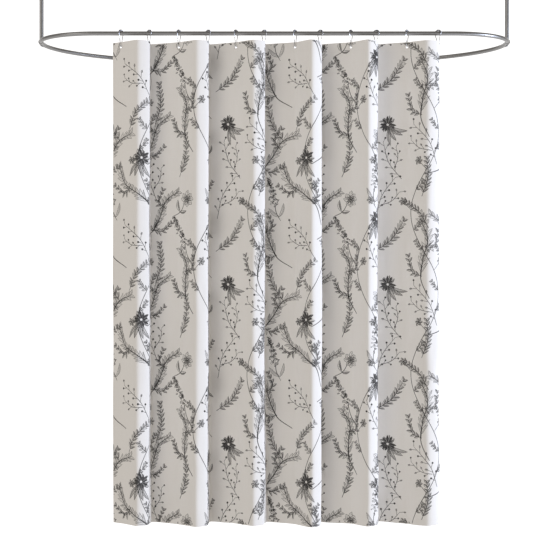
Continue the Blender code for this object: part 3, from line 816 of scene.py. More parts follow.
def smooth_line(points, step=STROKE_STEP, least=4):
    """A smooth line through a few points, in even steps."""
    p = np.asarray(points, float)
    if len(p) > 2:
        padded = np.vstack([2 * p[0] - p[1], p, 2 * p[-1] - p[-2]])
        t = np.linspace(0, 1, 9)[:-1, None]
        pieces = []
        for a, b, c, d in zip(padded, padded[1:], padded[2:], padded[3:]):
            pieces.append(0.5 * (2 * b + (c - a) * t + (2 * a - 5 * b + 4 * c - d) * t**2
                                 + (3 * b - a - 3 * c + d) * t**3))
        p = np.vstack(pieces + [p[-1:]])
    run = np.concatenate([[0], np.cumsum(np.linalg.norm(np.diff(p, axis=0), axis=1))])
    count = max(least, int(run[-1] / step) + 1)
    even = np.linspace(0, run[-1], count)
    return np.stack([np.interp(even, run, p[:, 0]), np.interp(even, run, p[:, 1])], axis=1)


def turned_by(vector, degrees):
    angle = math.radians(degrees)
    x, y = vector
    return np.array([x * math.cos(angle) - y * math.sin(angle),
                     x * math.sin(angle) + y * math.cos(angle)])


class Pen:
    """Draws one repeat of the print as strokes, in millimetres across and down."""

    def __init__(self, seed):
        self.strokes = []
        self.random = np.random.default_rng(seed)

    def line(self, points, width=1.3, start=0.45, end=0.3, step=STROKE_STEP, least=4,
             tone=0):
        """A stroke that swells from its start and thins out to its end."""
        path = smooth_line(points, step, least)
        share = np.linspace(0, 1, len(path))
        swell = np.minimum(1, start + (1 - start) * share / 0.25)
        swell = swell * np.minimum(1, end + (1 - end) * (1 - share) / 0.3)
        self.strokes.append((path, LINE_WEIGHT * width * swell, tone))

    def blot(self, centre, tip, breadth, tone=0):
        """A solid tapered mark, such as a shaded leaf or a petal in shadow."""
        path = smooth_line([centre, tip], step=3.5, least=6)
        share = np.linspace(0, 1, len(path))
        self.strokes.append((path, 0.3 + breadth * np.sin(math.pi * share**0.8)**0.8,
                             tone))

    def dot(self, centre, radius, tone=0):
        x, y = centre
        self.blot((x - radius, y), (x + radius, y), radius * 1.9, tone)

    def loop(self, centre, across, down, turn=0, width=0.9):
        """A closed outline."""
        angle = np.linspace(0, 2 * math.pi, 9)
        shape = [np.array(centre) + turned_by((across * math.cos(a), down * math.sin(a)),
                                              turn) for a in angle]
        self.line(shape, width, 0.6, 0.6, step=max(1.6, across * 0.45), least=9)

    def leaf(self, base, tip, breadth, bend=0.1, fill=0.0, veins=4, width=0.9):
        """An outlined leaf with a midrib, veins and, with fill, one shaded half."""
        base, tip = np.array(base, float), np.array(tip, float)
        along = tip - base
        side = turned_by(along, 90)
        middle = (base + tip) / 2 + side * bend
        rib = smooth_line([base, middle, tip], step=max(4, np.linalg.norm(along) / 7))
        way = unit(np.gradient(rib, axis=0))
        out = np.stack([-way[:, 1], way[:, 0]], axis=1)
        share = np.linspace(0, 1, len(rib))
        half = (breadth / 2 * np.sin(math.pi * share**0.85)**0.9)[:, None]
        if fill < 0.95:
            self.line(rib + out * half, width)
            self.line(rib - out * half, width)
        if fill < 0.6:
            self.line(rib, width * 0.8)
        if fill > 0.1:
            shift = 0.55 * (1 - min(fill, 1))
            self.strokes.append((rib + out * half * shift,
                                 0.2 + 2 * half[:, 0] * (0.2 + 0.7 * fill),
                                 0 if fill > 0.74 else 1))
        for i in range(veins):
            k = 1 + int((len(rib) - 2) * (i + 0.5) / max(veins, 1))
            k = min(k, len(rib) - 2)
            for sign in (1, -1):
                reach = rib[k] + way[k] * half[k] * 0.9 + sign * out[k] * half[k] * 0.85
                self.line([rib[k], reach], width * 0.6, 1, 0.4, least=2, tone=1)

    def lance(self, base, tip, breadth, bend=0.08, fill=0.0, stripes=1, width=0.9):
        """A long leaf with stripes that run along it."""
        base, tip = np.array(base, float), np.array(tip, float)
        side = turned_by(tip - base, 90)
        rib = smooth_line([base, (base + tip) / 2 + side * bend, tip], step=8, least=6)
        way = unit(np.gradient(rib, axis=0))
        out = np.stack([-way[:, 1], way[:, 0]], axis=1)
        share = np.linspace(0, 1, len(rib))
        half = (breadth / 2 * np.sin(math.pi * share**0.9)**0.85)[:, None]
        self.line(rib + out * half, width)
        self.line(rib - out * half, width)
        for i in range(stripes):
            at = (i + 1) / (stripes + 1) * 2 - 1
            self.line((rib + out * half * at)[1:], width * 0.7, tone=1)
        if fill > 0.15:
            self.strokes.append((rib + out * half * 0.35, 0.2 + fill * half[:, 0],
                                 0 if fill > 0.65 else 1))

    def frond(self, spine, pairs, length, breadth, angle=32, fill=0.25, width=1.3,
              grow=0.35, long=True):
        """A stem with leaves on both sides that point towards its tip."""
        self.line(spine, width, 1, 0.4)
        path = smooth_line(spine, step=3)
        way = unit(np.gradient(path, axis=0))
        for i in range(pairs):
            share = 0.12 + 0.86 * i / max(pairs - 1, 1)
            k = int(share * (len(path) - 1))
            size = length * (1 - grow * share) * self.random.uniform(0.85, 1.15)
            for sign in (1, -1):
                tilt = angle * self.random.uniform(0.8, 1.25)
                tip = path[k] + turned_by(way[k], sign * tilt) * size
                wide = breadth * self.random.uniform(0.85, 1.15)
                ink = fill * self.random.uniform(0.1, 1.5)
                if long:
                    self.lance(path[k], tip, wide, -0.08 * sign, min(ink, 0.95))
                else:
                    self.leaf(path[k], tip, wide, -0.08 * sign, min(ink, 1), veins=1)

    def petals(self, centre, radius, count, breadth, start=0, fill=0.0, veins=2):
        """Petals round a centre."""
        centre = np.array(centre, float)
        for i in range(count):
            way = turned_by((1, 0), start + 360 / count * i + self.random.uniform(-6, 6))
            size = radius * self.random.uniform(0.86, 1.1)
            self.leaf(centre + way * radius * 0.15, centre + way * size, breadth,
                      self.random.uniform(-0.12, 0.12), fill, veins)

    def heap(self, centre, across, down, count, size, dark=0.3, leafy=0.4):
        """Small florets, berries and leaflets crowded in an oval."""
        for _ in range(int(count * HEAP_SHARE)):
            radius, angle = math.sqrt(self.random.random()), self.random.uniform(0, 360)
            x, y = turned_by((radius, 0), angle)
            spot = np.array(centre) + (x * across, y * down)
            kind, big = self.random.random(), size * self.random.uniform(0.7, 1.3)
            if kind < dark:
                self.dot(spot, big * 0.65, tone=int(self.random.random() < 0.5))
            elif kind < dark + leafy:
                way = turned_by((1, 0), self.random.uniform(0, 360))
                self.leaf(spot, spot + way * big * 3, big * 1.3, 0.1, 0, veins=0, width=0.8)
            else:
                self.loop(spot, big, big * 0.8, self.random.uniform(0, 180), 0.8)

    def twig(self, spine, berries, reach, size, dark=0.6, width=1.3):
        """A thin stem with berries or buds on short stalks."""
        self.line(spine, width, 0.9, 0.5)
        path = smooth_line(spine, step=2)
        way = unit(np.gradient(path, axis=0))
        for i in range(berries):
            k = int((0.15 + 0.85 * i / max(berries - 1, 1)) * (len(path) - 1))
            sign = 1 if i % 2 else -1
            head = path[k] + turned_by(way[k], sign * 42) * reach
            self.line([path[k], head], width * 0.7, 1, 0.8, least=2)
            if self.random.random() < dark:
                self.dot(head, size)
            else:
                self.leaf(head, head + turned_by(way[k], sign * 50) * size * 3,
                          size * 1.5, 0, 0.2, veins=0)


class Motif:
    """A place on the cloth and a heading, in which a motif is drawn at its own size."""

    def __init__(self, place, heading, size, hand=1):
        self.place = np.array(place, float)
        self.heading = heading
        self.size = size
        self.hand = hand

    def at(self, along, aside=0.0):
        return self.place + turned_by((along * self.size, aside * self.hand * self.size),
                                      self.heading)

    def arc(self, start, end, rise):
        """Three points of a bent stem between two distances along."""
        return [self.at(start), self.at((start + end) / 2, rise), self.at(end)]


def draw_bough(pen, motif):
    """A long bending bough of narrow leaves, with a leafy shoot on each side."""
    spine = [motif.at(-1.5, -0.25), motif.at(-0.7, 0.1), motif.at(0.1, 0.0),
             motif.at(0.9, -0.2), motif.at(1.6, 0.05)]
    pen.line(spine, 2.2, 0.7, 0.4)
    pen.frond(spine[1:], 11, 0.5 * motif.size, 10, 30, 0.25, 1.4)
    for sign in (-1, 1):
        shoot = [motif.at(-0.6 * sign, 0.05), motif.at(0.1 - 0.5 * sign, 0.5 * sign),
                 motif.at(0.7 - 0.5 * sign, 0.65 * sign)]
        pen.frond(shoot, 6, 0.3 * motif.size, 8, 36, 0.4, 1.3, long=False)


def draw_blossom(pen, motif):
    """An open flower in two rings of petals, on a stem with two leaves."""
    radius = 0.42 * motif.size
    pen.line(motif.arc(-1.3, -0.2, 0.15), 1.6)
    pen.petals(motif.at(0), radius, 8, 0.55 * radius, start=motif.heading, fill=0.1, veins=3)
    pen.petals(motif.at(0), 0.55 * radius, 6, 0.35 * radius, start=motif.heading, fill=0.5,
               veins=1)
    pen.dot(motif.at(0), 0.12 * radius)
    for sign in (-1, 1):
        pen.leaf(motif.at(-0.8, 0.1), motif.at(-0.45, 0.4 * sign), 0.16 * motif.size,
                 0.1 * sign, 0.25, 4)


def draw_berries(pen, motif):
    """A forked twig of berries and buds."""
    pen.twig(motif.arc(-1.1, 0.9, 0.2), 10, 0.22 * motif.size, 4.2, 0.65)
    pen.twig([motif.at(-0.5, 0.1), motif.at(-0.1, -0.3), motif.at(0.4, -0.45)], 6,
             0.18 * motif.size, 3.6)


def draw_spike(pen, motif):
    """An upright spike of small florets on a leafy stalk."""
    for share in np.linspace(0, 1, 12):
        half = 0.26 * motif.size * (1 - 0.75 * share)
        pen.heap(motif.at(-0.3 + 1.3 * share), half, half * 0.5, 6, 3.4, 0.35)
    pen.line(motif.arc(-1.2, -0.2, -0.1), 1.6)
    for sign in (-1, 1):
        pen.lance(motif.at(-1.0), motif.at(-0.4, 0.42 * sign), 11, 0.08 * sign, 0.3, 2)


def draw_sprig(pen, motif):
    """A small fern-like sprig."""
    pen.frond(motif.arc(-0.9, 0.9, 0.18), 9, 0.34 * motif.size, 9, 40, 0.35, 1.4,
              long=False)


def draw_dark_flower(pen, motif):
    """A flower seen in shadow, of solid ragged petals, with thin leaves under it."""
    for angle in np.linspace(0, 360, 11, endpoint=False):
        way = turned_by((1, 0), angle + pen.random.uniform(-12, 12))
        reach = 0.4 * motif.size * pen.random.uniform(0.7, 1.1)
        pen.blot(motif.at(0) + way * 4, motif.at(0) + way * reach, 0.13 * motif.size)
    pen.petals(motif.at(0), 0.42 * motif.size, 9, 0.15 * motif.size, fill=0.2, veins=3)
    for aside in (-0.5, -0.15, 0.25, 0.55):
        pen.lance(motif.at(-0.15), motif.at(-0.85, aside), 13, 0.08, 0.4, 3, 1.2)


MOTIFS = (draw_bough, draw_blossom, draw_berries, draw_spike, draw_sprig, draw_bough,
          draw_dark_flower, draw_sprig, draw_berries)


def draw_trail(pen, across, phase):
    """A thin stem that sways down the repeat and meets itself, with buds and shoots."""
    def at(share):
        return np.array([across + TRAIL_SWAY * math.sin(2 * math.pi * share + phase),
                         REPEAT_DOWN * share])

    pen.line([at(share) for share in np.linspace(0, 1, 17)], 1.5, 1, 1)
    for i in range(TRAIL_SHOOTS):
        share, sign = (i + 0.5) / TRAIL_SHOOTS, 1 if i % 2 else -1
        root = at(share)
        tip = root + turned_by((0, -46), 42 * sign)
        if i % 3:
            pen.frond([root, (root + tip) / 2 + (4 * sign, 0), tip], 4, 19, 7, 42, 0.3, 1.1,
                      long=False)
        else:
            pen.line([root, tip], 1.1)
            pen.petals(tip, 17, 6, 9, start=20 * i, fill=0.15, veins=2)
            pen.dot(tip, 3)


def print_strokes():
    """Every stroke of one repeat: wandering stems, and sprigs on a staggered grid."""
    pen = Pen(11)
    for i in range(TRAILS):
        draw_trail(pen, REPEAT_ACROSS * (i + 0.4) / TRAILS, TRAIL_PHASE * i)
    wide, tall = REPEAT_ACROSS / MOTIF_COLUMNS, REPEAT_DOWN / MOTIF_ROWS
    for column in range(MOTIF_COLUMNS):
        for row in range(MOTIF_ROWS):
            stray = pen.random.uniform(-MOTIF_STRAY, MOTIF_STRAY, 2)
            place = (wide * (column + 0.5), tall * (row + 0.5 * (column % 2))) + stray
            heading = -90 + pen.random.uniform(-MOTIF_LEAN, MOTIF_LEAN)
            draw = MOTIFS[(COLUMN_TURN * column + ROW_TURN * row) % len(MOTIFS)]
            size = MOTIF_SIZE * pen.random.uniform(0.9, 1.15)
            draw(pen, Motif(place, heading, size, 1 if pen.random.random() < 0.5 else -1))
    return pen.strokes


INKS = (("dark", 0), ("grey", 1))


def ink_mesh(name, strokes, row, column, level, rise):
    """Raised strokes of one repeat of the print, where it falls on the cloth."""
    shift = np.array([PRINT_START[0] + REPEAT_ACROSS * column,
                      PRINT_START[1] + REPEAT_DOWN * row])
    faces, spots = [], []
    count = 0
    for path, widths, _ in strokes:
        flat = path + shift
        inside = (flat > PRINT_EDGE) & (flat < CLOTH_WIDTH * 1000 - PRINT_EDGE)
        inside = inside.all(axis=1)
        inside &= ~in_buttonhole(flat[:, 0] / 1000, flat[:, 1] / 1000)
        if inside.sum() < 2:
            continue
        way = unit(np.gradient(flat, axis=0) + 1e-9)
        out = np.stack([-way[:, 1], way[:, 0]], axis=1) * widths[:, None] / 2
        runs = np.split(np.arange(len(flat)), np.where(np.diff(inside.astype(int)))[0] + 1)
        for run in runs:
            if not inside[run[0]] or len(run) < 2:
                continue
            n = len(run)
            spots.append(np.stack([flat[run] + out[run], flat[run], flat[run] - out[run]],
                                  axis=1).reshape(-1, 2))
            a = count + 3 * np.arange(n - 1)
            for b in a:
                faces.extend([(b, b + 1, b + 4, b + 3), (b + 1, b + 2, b + 5, b + 4),
                              (b + 2, b, b + 3, b + 5)])
            faces.append((count, count + 2, count + 1))
            end = count + 3 * (n - 1)
            faces.append((end, end + 1, end + 2))
            count += 3 * n
    if not spots:
        return None
    flat = np.clip(np.concatenate(spots) / 1000, 0.0005, CLOTH_WIDTH - 0.0005)
    depth = np.full(len(flat), level)
    depth[1::3] += rise
    points = cloth_at(flat[:, 0], flat[:, 1], depth)
    return mesh_of(name, points, faces, smooth=False)


def gather(piece):
    """Give a piece a mesh of its own."""
    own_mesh(piece)
    return piece


def seam_points(path, pitch, level):
    """Stitch places and directions along a line on the flat cloth."""
    path = np.asarray(path, float)
    run = np.concatenate([[0], np.cumsum(np.hypot(*np.diff(path, axis=0).T))])
    even = np.arange(pitch / 2, run[-1], pitch)
    spots = [np.interp([t - pitch / 4, t, t + pitch / 4], run, path[:, k])
             for k in (0, 1) for t in even]
    spots = np.array(spots).reshape(2, -1, 3)
    placed = cloth_at(spots[0], spots[1], level)
    return placed[:, 1], placed[:, 2] - placed[:, 0]


def buttonhole_points(pitch):
    """Places and directions of the close stitches round every buttonhole."""
    places, lays = [], []
    half, drop = BUTTONHOLE_WIDTH / 2, BUTTONHOLE_DROP
    for i in range(RING_COUNT):
        s = ring_across(i)
        for side in (-1, 1):
            for d in np.arange(drop, drop + BUTTONHOLE_HEIGHT, pitch):
                edge = s + side * (half + 0.0009)
                trio = cloth_at([edge - 0.0005, edge, edge + 0.0005], [d] * 3, FACE - 0.0002)
                places.append(trio[1])
                lays.append(trio[2] - trio[0])
        for edge in (drop - 0.0009, drop + BUTTONHOLE_HEIGHT + 0.0009):
            for across in np.arange(s - half, s + half, pitch):
                trio = cloth_at([across] * 3, [edge - 0.0005, edge, edge + 0.0005],
                                FACE - 0.0002)
                places.append(trio[1])
                lays.append(trio[2] - trio[0])
    return np.array(places), np.array(lays)


def make_curtain(sizes, colours):
    """The printed cloth with its hems, header tape, print and stitching."""
    cotton = printed_cotton(colours.cloth)
    tape_finish = ribbed_tape(colours.tape)
    thread = sewing_thread(colours.thread)
    inks = {"dark": print_ink("print_ink_dark", colours.ink, colours.ink_worn, 0, 0.85),
            "grey": print_ink("print_ink_grey", colours.wash, colours.wash_worn, 0, 1)}
    ghost = print_ink("print_show_through", colours.ghost, colours.cloth, 0, 0.8)

    columns = across_stops(sizes.columns_per_ring)
    top = (BUTTONHOLE_DROP, BUTTONHOLE_DROP + BUTTONHOLE_HEIGHT)
    hem_start = CLOTH_HEIGHT - sizes.bottom_hem
    rows = stops((0, 0), (top[0], 2), (top[1], 3), (HEADER_HEIGHT, 1),
                 (hem_start, sizes.rows), (CLOTH_HEIGHT, 3))
    cloth = put("curtain_cloth", sheet_mesh("curtain_cloth", columns, rows, FACE, REVERSE),
                cotton, "curtain", ["curtain_panel"])

    def sew(name, mesh, material, replaced=()):
        piece = gather(put(name, mesh, material, "curtain", replaced))
        return piece

    rows = stops((0, 0), (top[0], 2), (top[1], 3), (HEADER_HEIGHT, 2))
    sew("header_tape", sheet_mesh("header_tape", columns, rows, TAPE_NEAR, TAPE_FAR),
        tape_finish, ["header_band"])
    near, far = REVERSE + 0.00008, REVERSE + 0.00078
    inset = 0.0002
    down = np.linspace(HEADER_HEIGHT + 0.001, hem_start - 0.0005, 90)
    for name, start, end in (("left", inset, sizes.side_hem),
                             ("right", CLOTH_WIDTH - sizes.side_hem, CLOTH_WIDTH - inset)):
        mesh = sheet_mesh(f"side_hem_{name}", np.linspace(start, end, 5), down, near, far)
        sew(f"side_hem_{name}", mesh, cotton)
    mesh = sheet_mesh("bottom_hem", np.linspace(inset, CLOTH_WIDTH - inset, 420),
                      np.linspace(hem_start, CLOTH_HEIGHT - inset, 6), near, far)
    sew("bottom_hem", mesh, cotton)

    strokes = print_strokes()
    for row in (-2, -1, 0, 1, 2):
        for column in (-1, 0, 1):
            for label, tone in INKS:
                name = f"print_{label}_{row + 3}_{column + 2}"
                chosen = [stroke for stroke in strokes if stroke[2] == tone]
                mesh = ink_mesh(name, chosen, row, column, FACE - 0.00012, -0.0002)
                if mesh:
                    sew(name, mesh, inks[label])
            name = f"print_reverse_{row + 3}_{column + 2}"
            bold = [s for s in strokes if s[2] == 0 and s[1].max() > BOLD_STROKE]
            mesh = ink_mesh(name, bold, row, column, REVERSE + 0.00008, 0.00012)
            if mesh:
                sew(name, mesh, ghost)

    stitches = stitch_tree()
    level = FACE - 0.00008
    lines = [
        ((0.004, hem_start + 0.003), (CLOTH_WIDTH - 0.004, hem_start + 0.003)),
        ((0.004, HEADER_HEIGHT - 0.003), (CLOTH_WIDTH - 0.004, HEADER_HEIGHT - 0.003)),
        ((sizes.side_hem - 0.002, 0.004), (sizes.side_hem - 0.002, CLOTH_HEIGHT - 0.004)),
        ((CLOTH_WIDTH - sizes.side_hem + 0.002, 0.004),
         (CLOTH_WIDTH - sizes.side_hem + 0.002, CLOTH_HEIGHT - 0.004)),
    ]
    labels = ("bottom", "header", "left", "right")
    for label, line in zip(labels, lines):
        for face, depth in (("front", level), ("back", TAPE_FAR + 0.00005)):
            points, lays = seam_points(line, sizes.stitch_pitch, depth)
            mesh = scattered(f"seam_{label}_{face}", stitches, points, lays, {
                "Length": sizes.stitch_pitch * 0.8, "Width": sizes.thread_width,
                "Material": thread})
            sew(f"seam_{label}_{face}", mesh, None)
    points, lays = buttonhole_points(0.0007)
    mesh = scattered("buttonhole_stitching", stitches, points, lays, {
        "Length": 0.0026, "Width": 0.0007, "Material": thread})
    sew("buttonhole_stitching", mesh, None)

    gather(cloth)


# ------------------------------------------------------------------ roller rings


def arc_point(twist, angle):
    """A point of the top arc as (forward, up); 0 is straight over the rail."""
    return np.array([BALL_PATH / math.cos(twist) * math.sin(angle),
                     BALL_PATH * math.cos(angle)])


def shoulder(twist, steps):
    """From the end of the top arc down to the start of the foot, on the front side."""
    angle = BALL_STEP * BALL_COUNT / 2 + ARC_OVERRUN
    start = arc_point(twist, angle)
    away = unit(np.array([math.cos(angle) / math.cos(twist), -math.sin(angle)]))
    centre = np.array([0, FOOT_RADIUS - RING_DROP])
    end = centre + FOOT_RADIUS * np.array([math.cos(FOOT_FLARE), math.sin(FOOT_FLARE)])
    back_up = np.array([-math.sin(FOOT_FLARE), math.cos(FOOT_FLARE)])
    handle = np.linalg.norm(start - end) * 0.33
    t = np.linspace(0, 1, steps)[:, None]
    return (start * (1 - t)**3 + (start + away * handle) * 3 * t * (1 - t)**2
            + (end + back_up * handle) * 3 * t**2 * (1 - t) + end * t**3)


def wire_outline(twist):
    """The whole ring as (forward, up) points, from its catch and round to it again."""
    front = shoulder(twist, 25)
    cut = 10
    along = unit(front[cut + 1] - front[cut])
    catch = (front[cut] + front[cut + 1]) / 2
    sweep = math.pi + 2 * FOOT_FLARE
    angles = FOOT_FLARE - sweep * np.arange(1, 24) / 24
    foot = (np.array([0, FOOT_RADIUS - RING_DROP])
            + FOOT_RADIUS * np.stack([np.cos(angles), np.sin(angles)], axis=1))
    back = front[::-1] * (-1, 1)
    half = BALL_STEP * BALL_COUNT / 2 + ARC_OVERRUN
    top = np.array([arc_point(twist, a) for a in np.linspace(-half, half, 48)[1:-1]])
    return np.vstack([[catch + along * CATCH_GAP / 2], front[cut + 1:], foot, back, top,
                      front[:cut + 1], [catch - along * CATCH_GAP / 2]])


def ring_place(points, x, twist):
    forward = np.array([math.sin(twist), -math.cos(twist), 0])
    points = np.atleast_2d(points)
    return (np.array([x, RUN_Y, RAIL_Z]) + points[:, :1] * forward
            + points[:, 1:] * np.array([0, 0, 1]))


def ball_form(radius, bore, finish):
    """One roller ball, bored along X, as a form to copy."""
    flat = math.asin(bore / radius)
    angles = np.linspace(flat, math.pi - flat, 11)
    outside = [(radius * math.sin(a), radius * math.cos(a)) for a in angles]
    profile = outside + [(bore, -radius * math.cos(flat)), (bore, radius * math.cos(flat))]
    profile.append(profile[0])
    mesh = turned("roller_ball", profile, (0, 0, 0), 16, axis=(1, 0, 0))
    return put("roller_ball", mesh, finish)


def make_rings(sizes, colours):
    """Twelve wire rings, each with its five roller balls."""
    bright = chrome(colours.chrome)
    balls = chrome(colours.balls)
    form = ball_form(sizes.ball_radius, sizes.wire_radius + 0.0002, balls)
    tree = form_tree()
    last = BALL_STEP * (BALL_COUNT - 1) / 2
    for i, number in enumerate(RING_NUMBERS):
        twist = EVEN_TWIST if i % 2 else ODD_TWIST
        normal = (math.cos(twist), math.sin(twist), 0)
        path = ring_place(wire_outline(twist), RING_X[i], twist)
        radii = np.full(len(path), sizes.wire_radius)
        radii[[0, -1]] *= 0.55
        mesh = swept_mesh(f"ring_{number}_wire", path, normal, [radii], 14,
                          closed_ends=True)
        put(f"ring_{number}_wire", mesh, bright, f"ring_{number}",
            [f"ring_wire_{number}"])
        angles = np.linspace(-last, last, BALL_COUNT)
        spots = ring_place(np.array([arc_point(twist, a) for a in angles]), RING_X[i],
                           twist)
        ahead = ring_place(np.array([arc_point(twist, a + 0.05) for a in angles]),
                           RING_X[i], twist)
        mesh = scattered(f"ring_{number}_balls", tree, spots, unit(ahead - spots),
                         {"Form": form, "Material": balls})
        put(f"ring_{number}_balls", mesh, None, f"ring_{number}",
            [f"ring_rollers_{number}"])
    bpy.data.objects.remove(form)


# -------------------------------------------------------------- rail and fittings


def front_point(side, angle):
    x = RAIL_HALF_WIDTH - CORNER_REACH * (1 - math.cos(angle))
    return (side * x, RUN_Y * math.sin(angle), RAIL_Z)


def back_point(side, angle):
    return (side * RAIL_HALF_WIDTH * math.cos(angle), BACK_DEPTH * math.sin(angle), RAIL_Z)


def make_rail(sizes, colours):
    """The oval tube in two halves, with its end sleeves and the drop tubes."""
    nickel = brushed_nickel(colours.nickel)
    up = (0, 0, 1)
    walls = [TUBE_RADIUS, TUBE_RADIUS - TUBE_WALL]

    def half(name, bend, depth, steps):
        start = math.asin(RAIL_SETBACK / depth)
        angles = np.linspace(start, math.pi / 2, steps)
        left = [bend(-1, a) for a in angles]
        right = [bend(1, a) for a in angles[::-1]]
        if bend is back_point:
            right = right[1:]
        mesh = swept_mesh(name, left + right, up, walls, sizes.tube_sides,
                          close_walls=True)
        put(name, mesh, nickel, "rail", [name.removesuffix("_tube")])

    half("rail_front_tube", front_point, -RUN_Y, 40)
    half("rail_back_tube", back_point, BACK_DEPTH, 70)

    for side, name in SIDES:
        reach = [math.asin(y / BACK_DEPTH) for y in np.linspace(COUPLER_REACH, 0, 14)]
        path = [back_point(side, a) for a in reach]
        reach = [math.asin(y / -RUN_Y) for y in np.linspace(0, COUPLER_REACH, 14)[1:]]
        path += [front_point(side, a) for a in reach]
        outer = np.full(len(path), COUPLER_OUTER)
        outer[[0, -1]] -= 0.0007
        mesh = swept_mesh("sleeve", path, up, [outer, COUPLER_INNER], sizes.tube_sides,
                          close_walls=True)
        put(f"rail_sleeve_{name}", mesh, nickel, "rail",
            [f"rail_coupler_{name}"])
        make_drop_tube(side, name, sizes, nickel)
        make_flange(side, name, nickel)
        tint(f"drop_plug_{name}", nickel)


def tint(node, material):
    """Give a CAD piece that stays a finished material."""
    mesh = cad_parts[node].data
    mesh.materials.clear()
    mesh.materials.append(material)


def make_drop_tube(side, name, sizes, nickel):
    """A straight tube whose foot is coped over the sleeve."""
    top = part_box(f"drop_tube_{name}")[1].z
    x = side * RAIL_HALF_WIDTH
    saddle = COUPLER_OUTER + 0.0003
    sides = sizes.tube_sides
    angle = np.linspace(0, 2 * math.pi, sides, endpoint=False)
    points, faces, uv = [], [], []
    for wall, radius in enumerate((TUBE_RADIUS, TUBE_RADIUS - TUBE_WALL)):
        reach = radius * np.cos(angle)
        foot = RAIL_Z + np.sqrt(saddle**2 - reach**2)
        for share in (0, 0.02, 1):
            level = foot + (top - foot) * share
            for k in range(sides):
                points.append((x + reach[k], radius * math.sin(angle[k]), level[k]))
                uv.append((level[k], k / sides))
        start = wall * 3 * sides
        for row in (0, 1):
            for k in range(sides):
                j = (k + 1) % sides
                a = start + row * sides
                faces.append((a + k, a + j, a + sides + j, a + sides + k))
    for row in (0, 2):
        for k in range(sides):
            j = (k + 1) % sides
            a, b = row * sides, (3 + row) * sides
            faces.append((a + k, a + j, b + j, b + k))
    mesh = outward(mesh_of(f"drop_tube_{name}_fine", points, faces, uv=uv))
    put(f"hanging_tube_{name}", mesh, nickel, "rail", [f"drop_tube_{name}"])


def make_flange(side, name, nickel):
    """A turned ceiling plate with a filleted boss."""
    low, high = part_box(f"ceiling_flange_{name}")
    radius = (high.x - low.x) / 2
    thick, boss, depth = 0.005, 0.0125, high.z - low.z
    socket = TUBE_RADIUS + 0.0003
    profile = [(0, 0), (radius, 0)]
    for t in np.linspace(0, math.pi / 2, 7):
        profile.append((radius - 0.0022 * (1 - math.cos(t)), -0.0028 - 0.0022 * math.sin(t)))
    for t in np.linspace(0, math.pi / 2, 7):
        profile.append((boss + 0.0022 * (1 - math.sin(t)), -thick - 0.0022 * (1 - math.cos(t))))
    profile += [(boss, -depth + 0.001), (boss - 0.0003, -depth + 0.0003),
                (boss - 0.001, -depth), (socket, -depth), (socket, -0.003), (0, -0.003)]
    mesh = turned("plate", profile, (side * RAIL_HALF_WIDTH, 0, 0), 64)
    put(f"ceiling_plate_{name}", mesh, nickel, "rail",
        [f"ceiling_flange_{name}"])


def recessed_head(profile, recess, depth, sides=20):
    """A turned screw along Z with a hexagon socket in its head at the origin."""
    mesh = turned("screw", profile, (0, 0, 0), sides)
    screw = bpy.data.objects.new("screw", mesh)
    tool = bpy.data.meshes.new("socket")
    shape = bmesh.new()
    bmesh.ops.create_cone(shape, cap_ends=True, segments=6, radius1=recess,
                          radius2=recess, depth=2 * depth)
    shape.to_mesh(tool)
    shape.free()
    cutter = bpy.data.objects.new("socket", tool)
    for thing in (screw, cutter):
        bpy.context.scene.collection.objects.link(thing)
    hole = screw.modifiers.new("socket", "BOOLEAN")
    hole.operation, hole.solver, hole.object = "DIFFERENCE", "EXACT", cutter
    bpy.context.view_layer.update()
    ready = screw.evaluated_get(bpy.context.evaluated_depsgraph_get())
    out = bpy.data.meshes.new_from_object(ready)
    bpy.data.objects.remove(screw)
    bpy.data.objects.remove(cutter)
    return out


def threaded(radius, start, end, pitch):
    """The ridged side of a screw's shank, as (radius, height) points."""
    marks = np.arange(start, end, pitch)
    out = []
    for z in marks:
        out += [(radius * 0.8, z + pitch * 0.12), (radius, z + pitch * 0.5)]
    return out + [(radius * 0.8, marks[-1] + pitch * 0.9)]


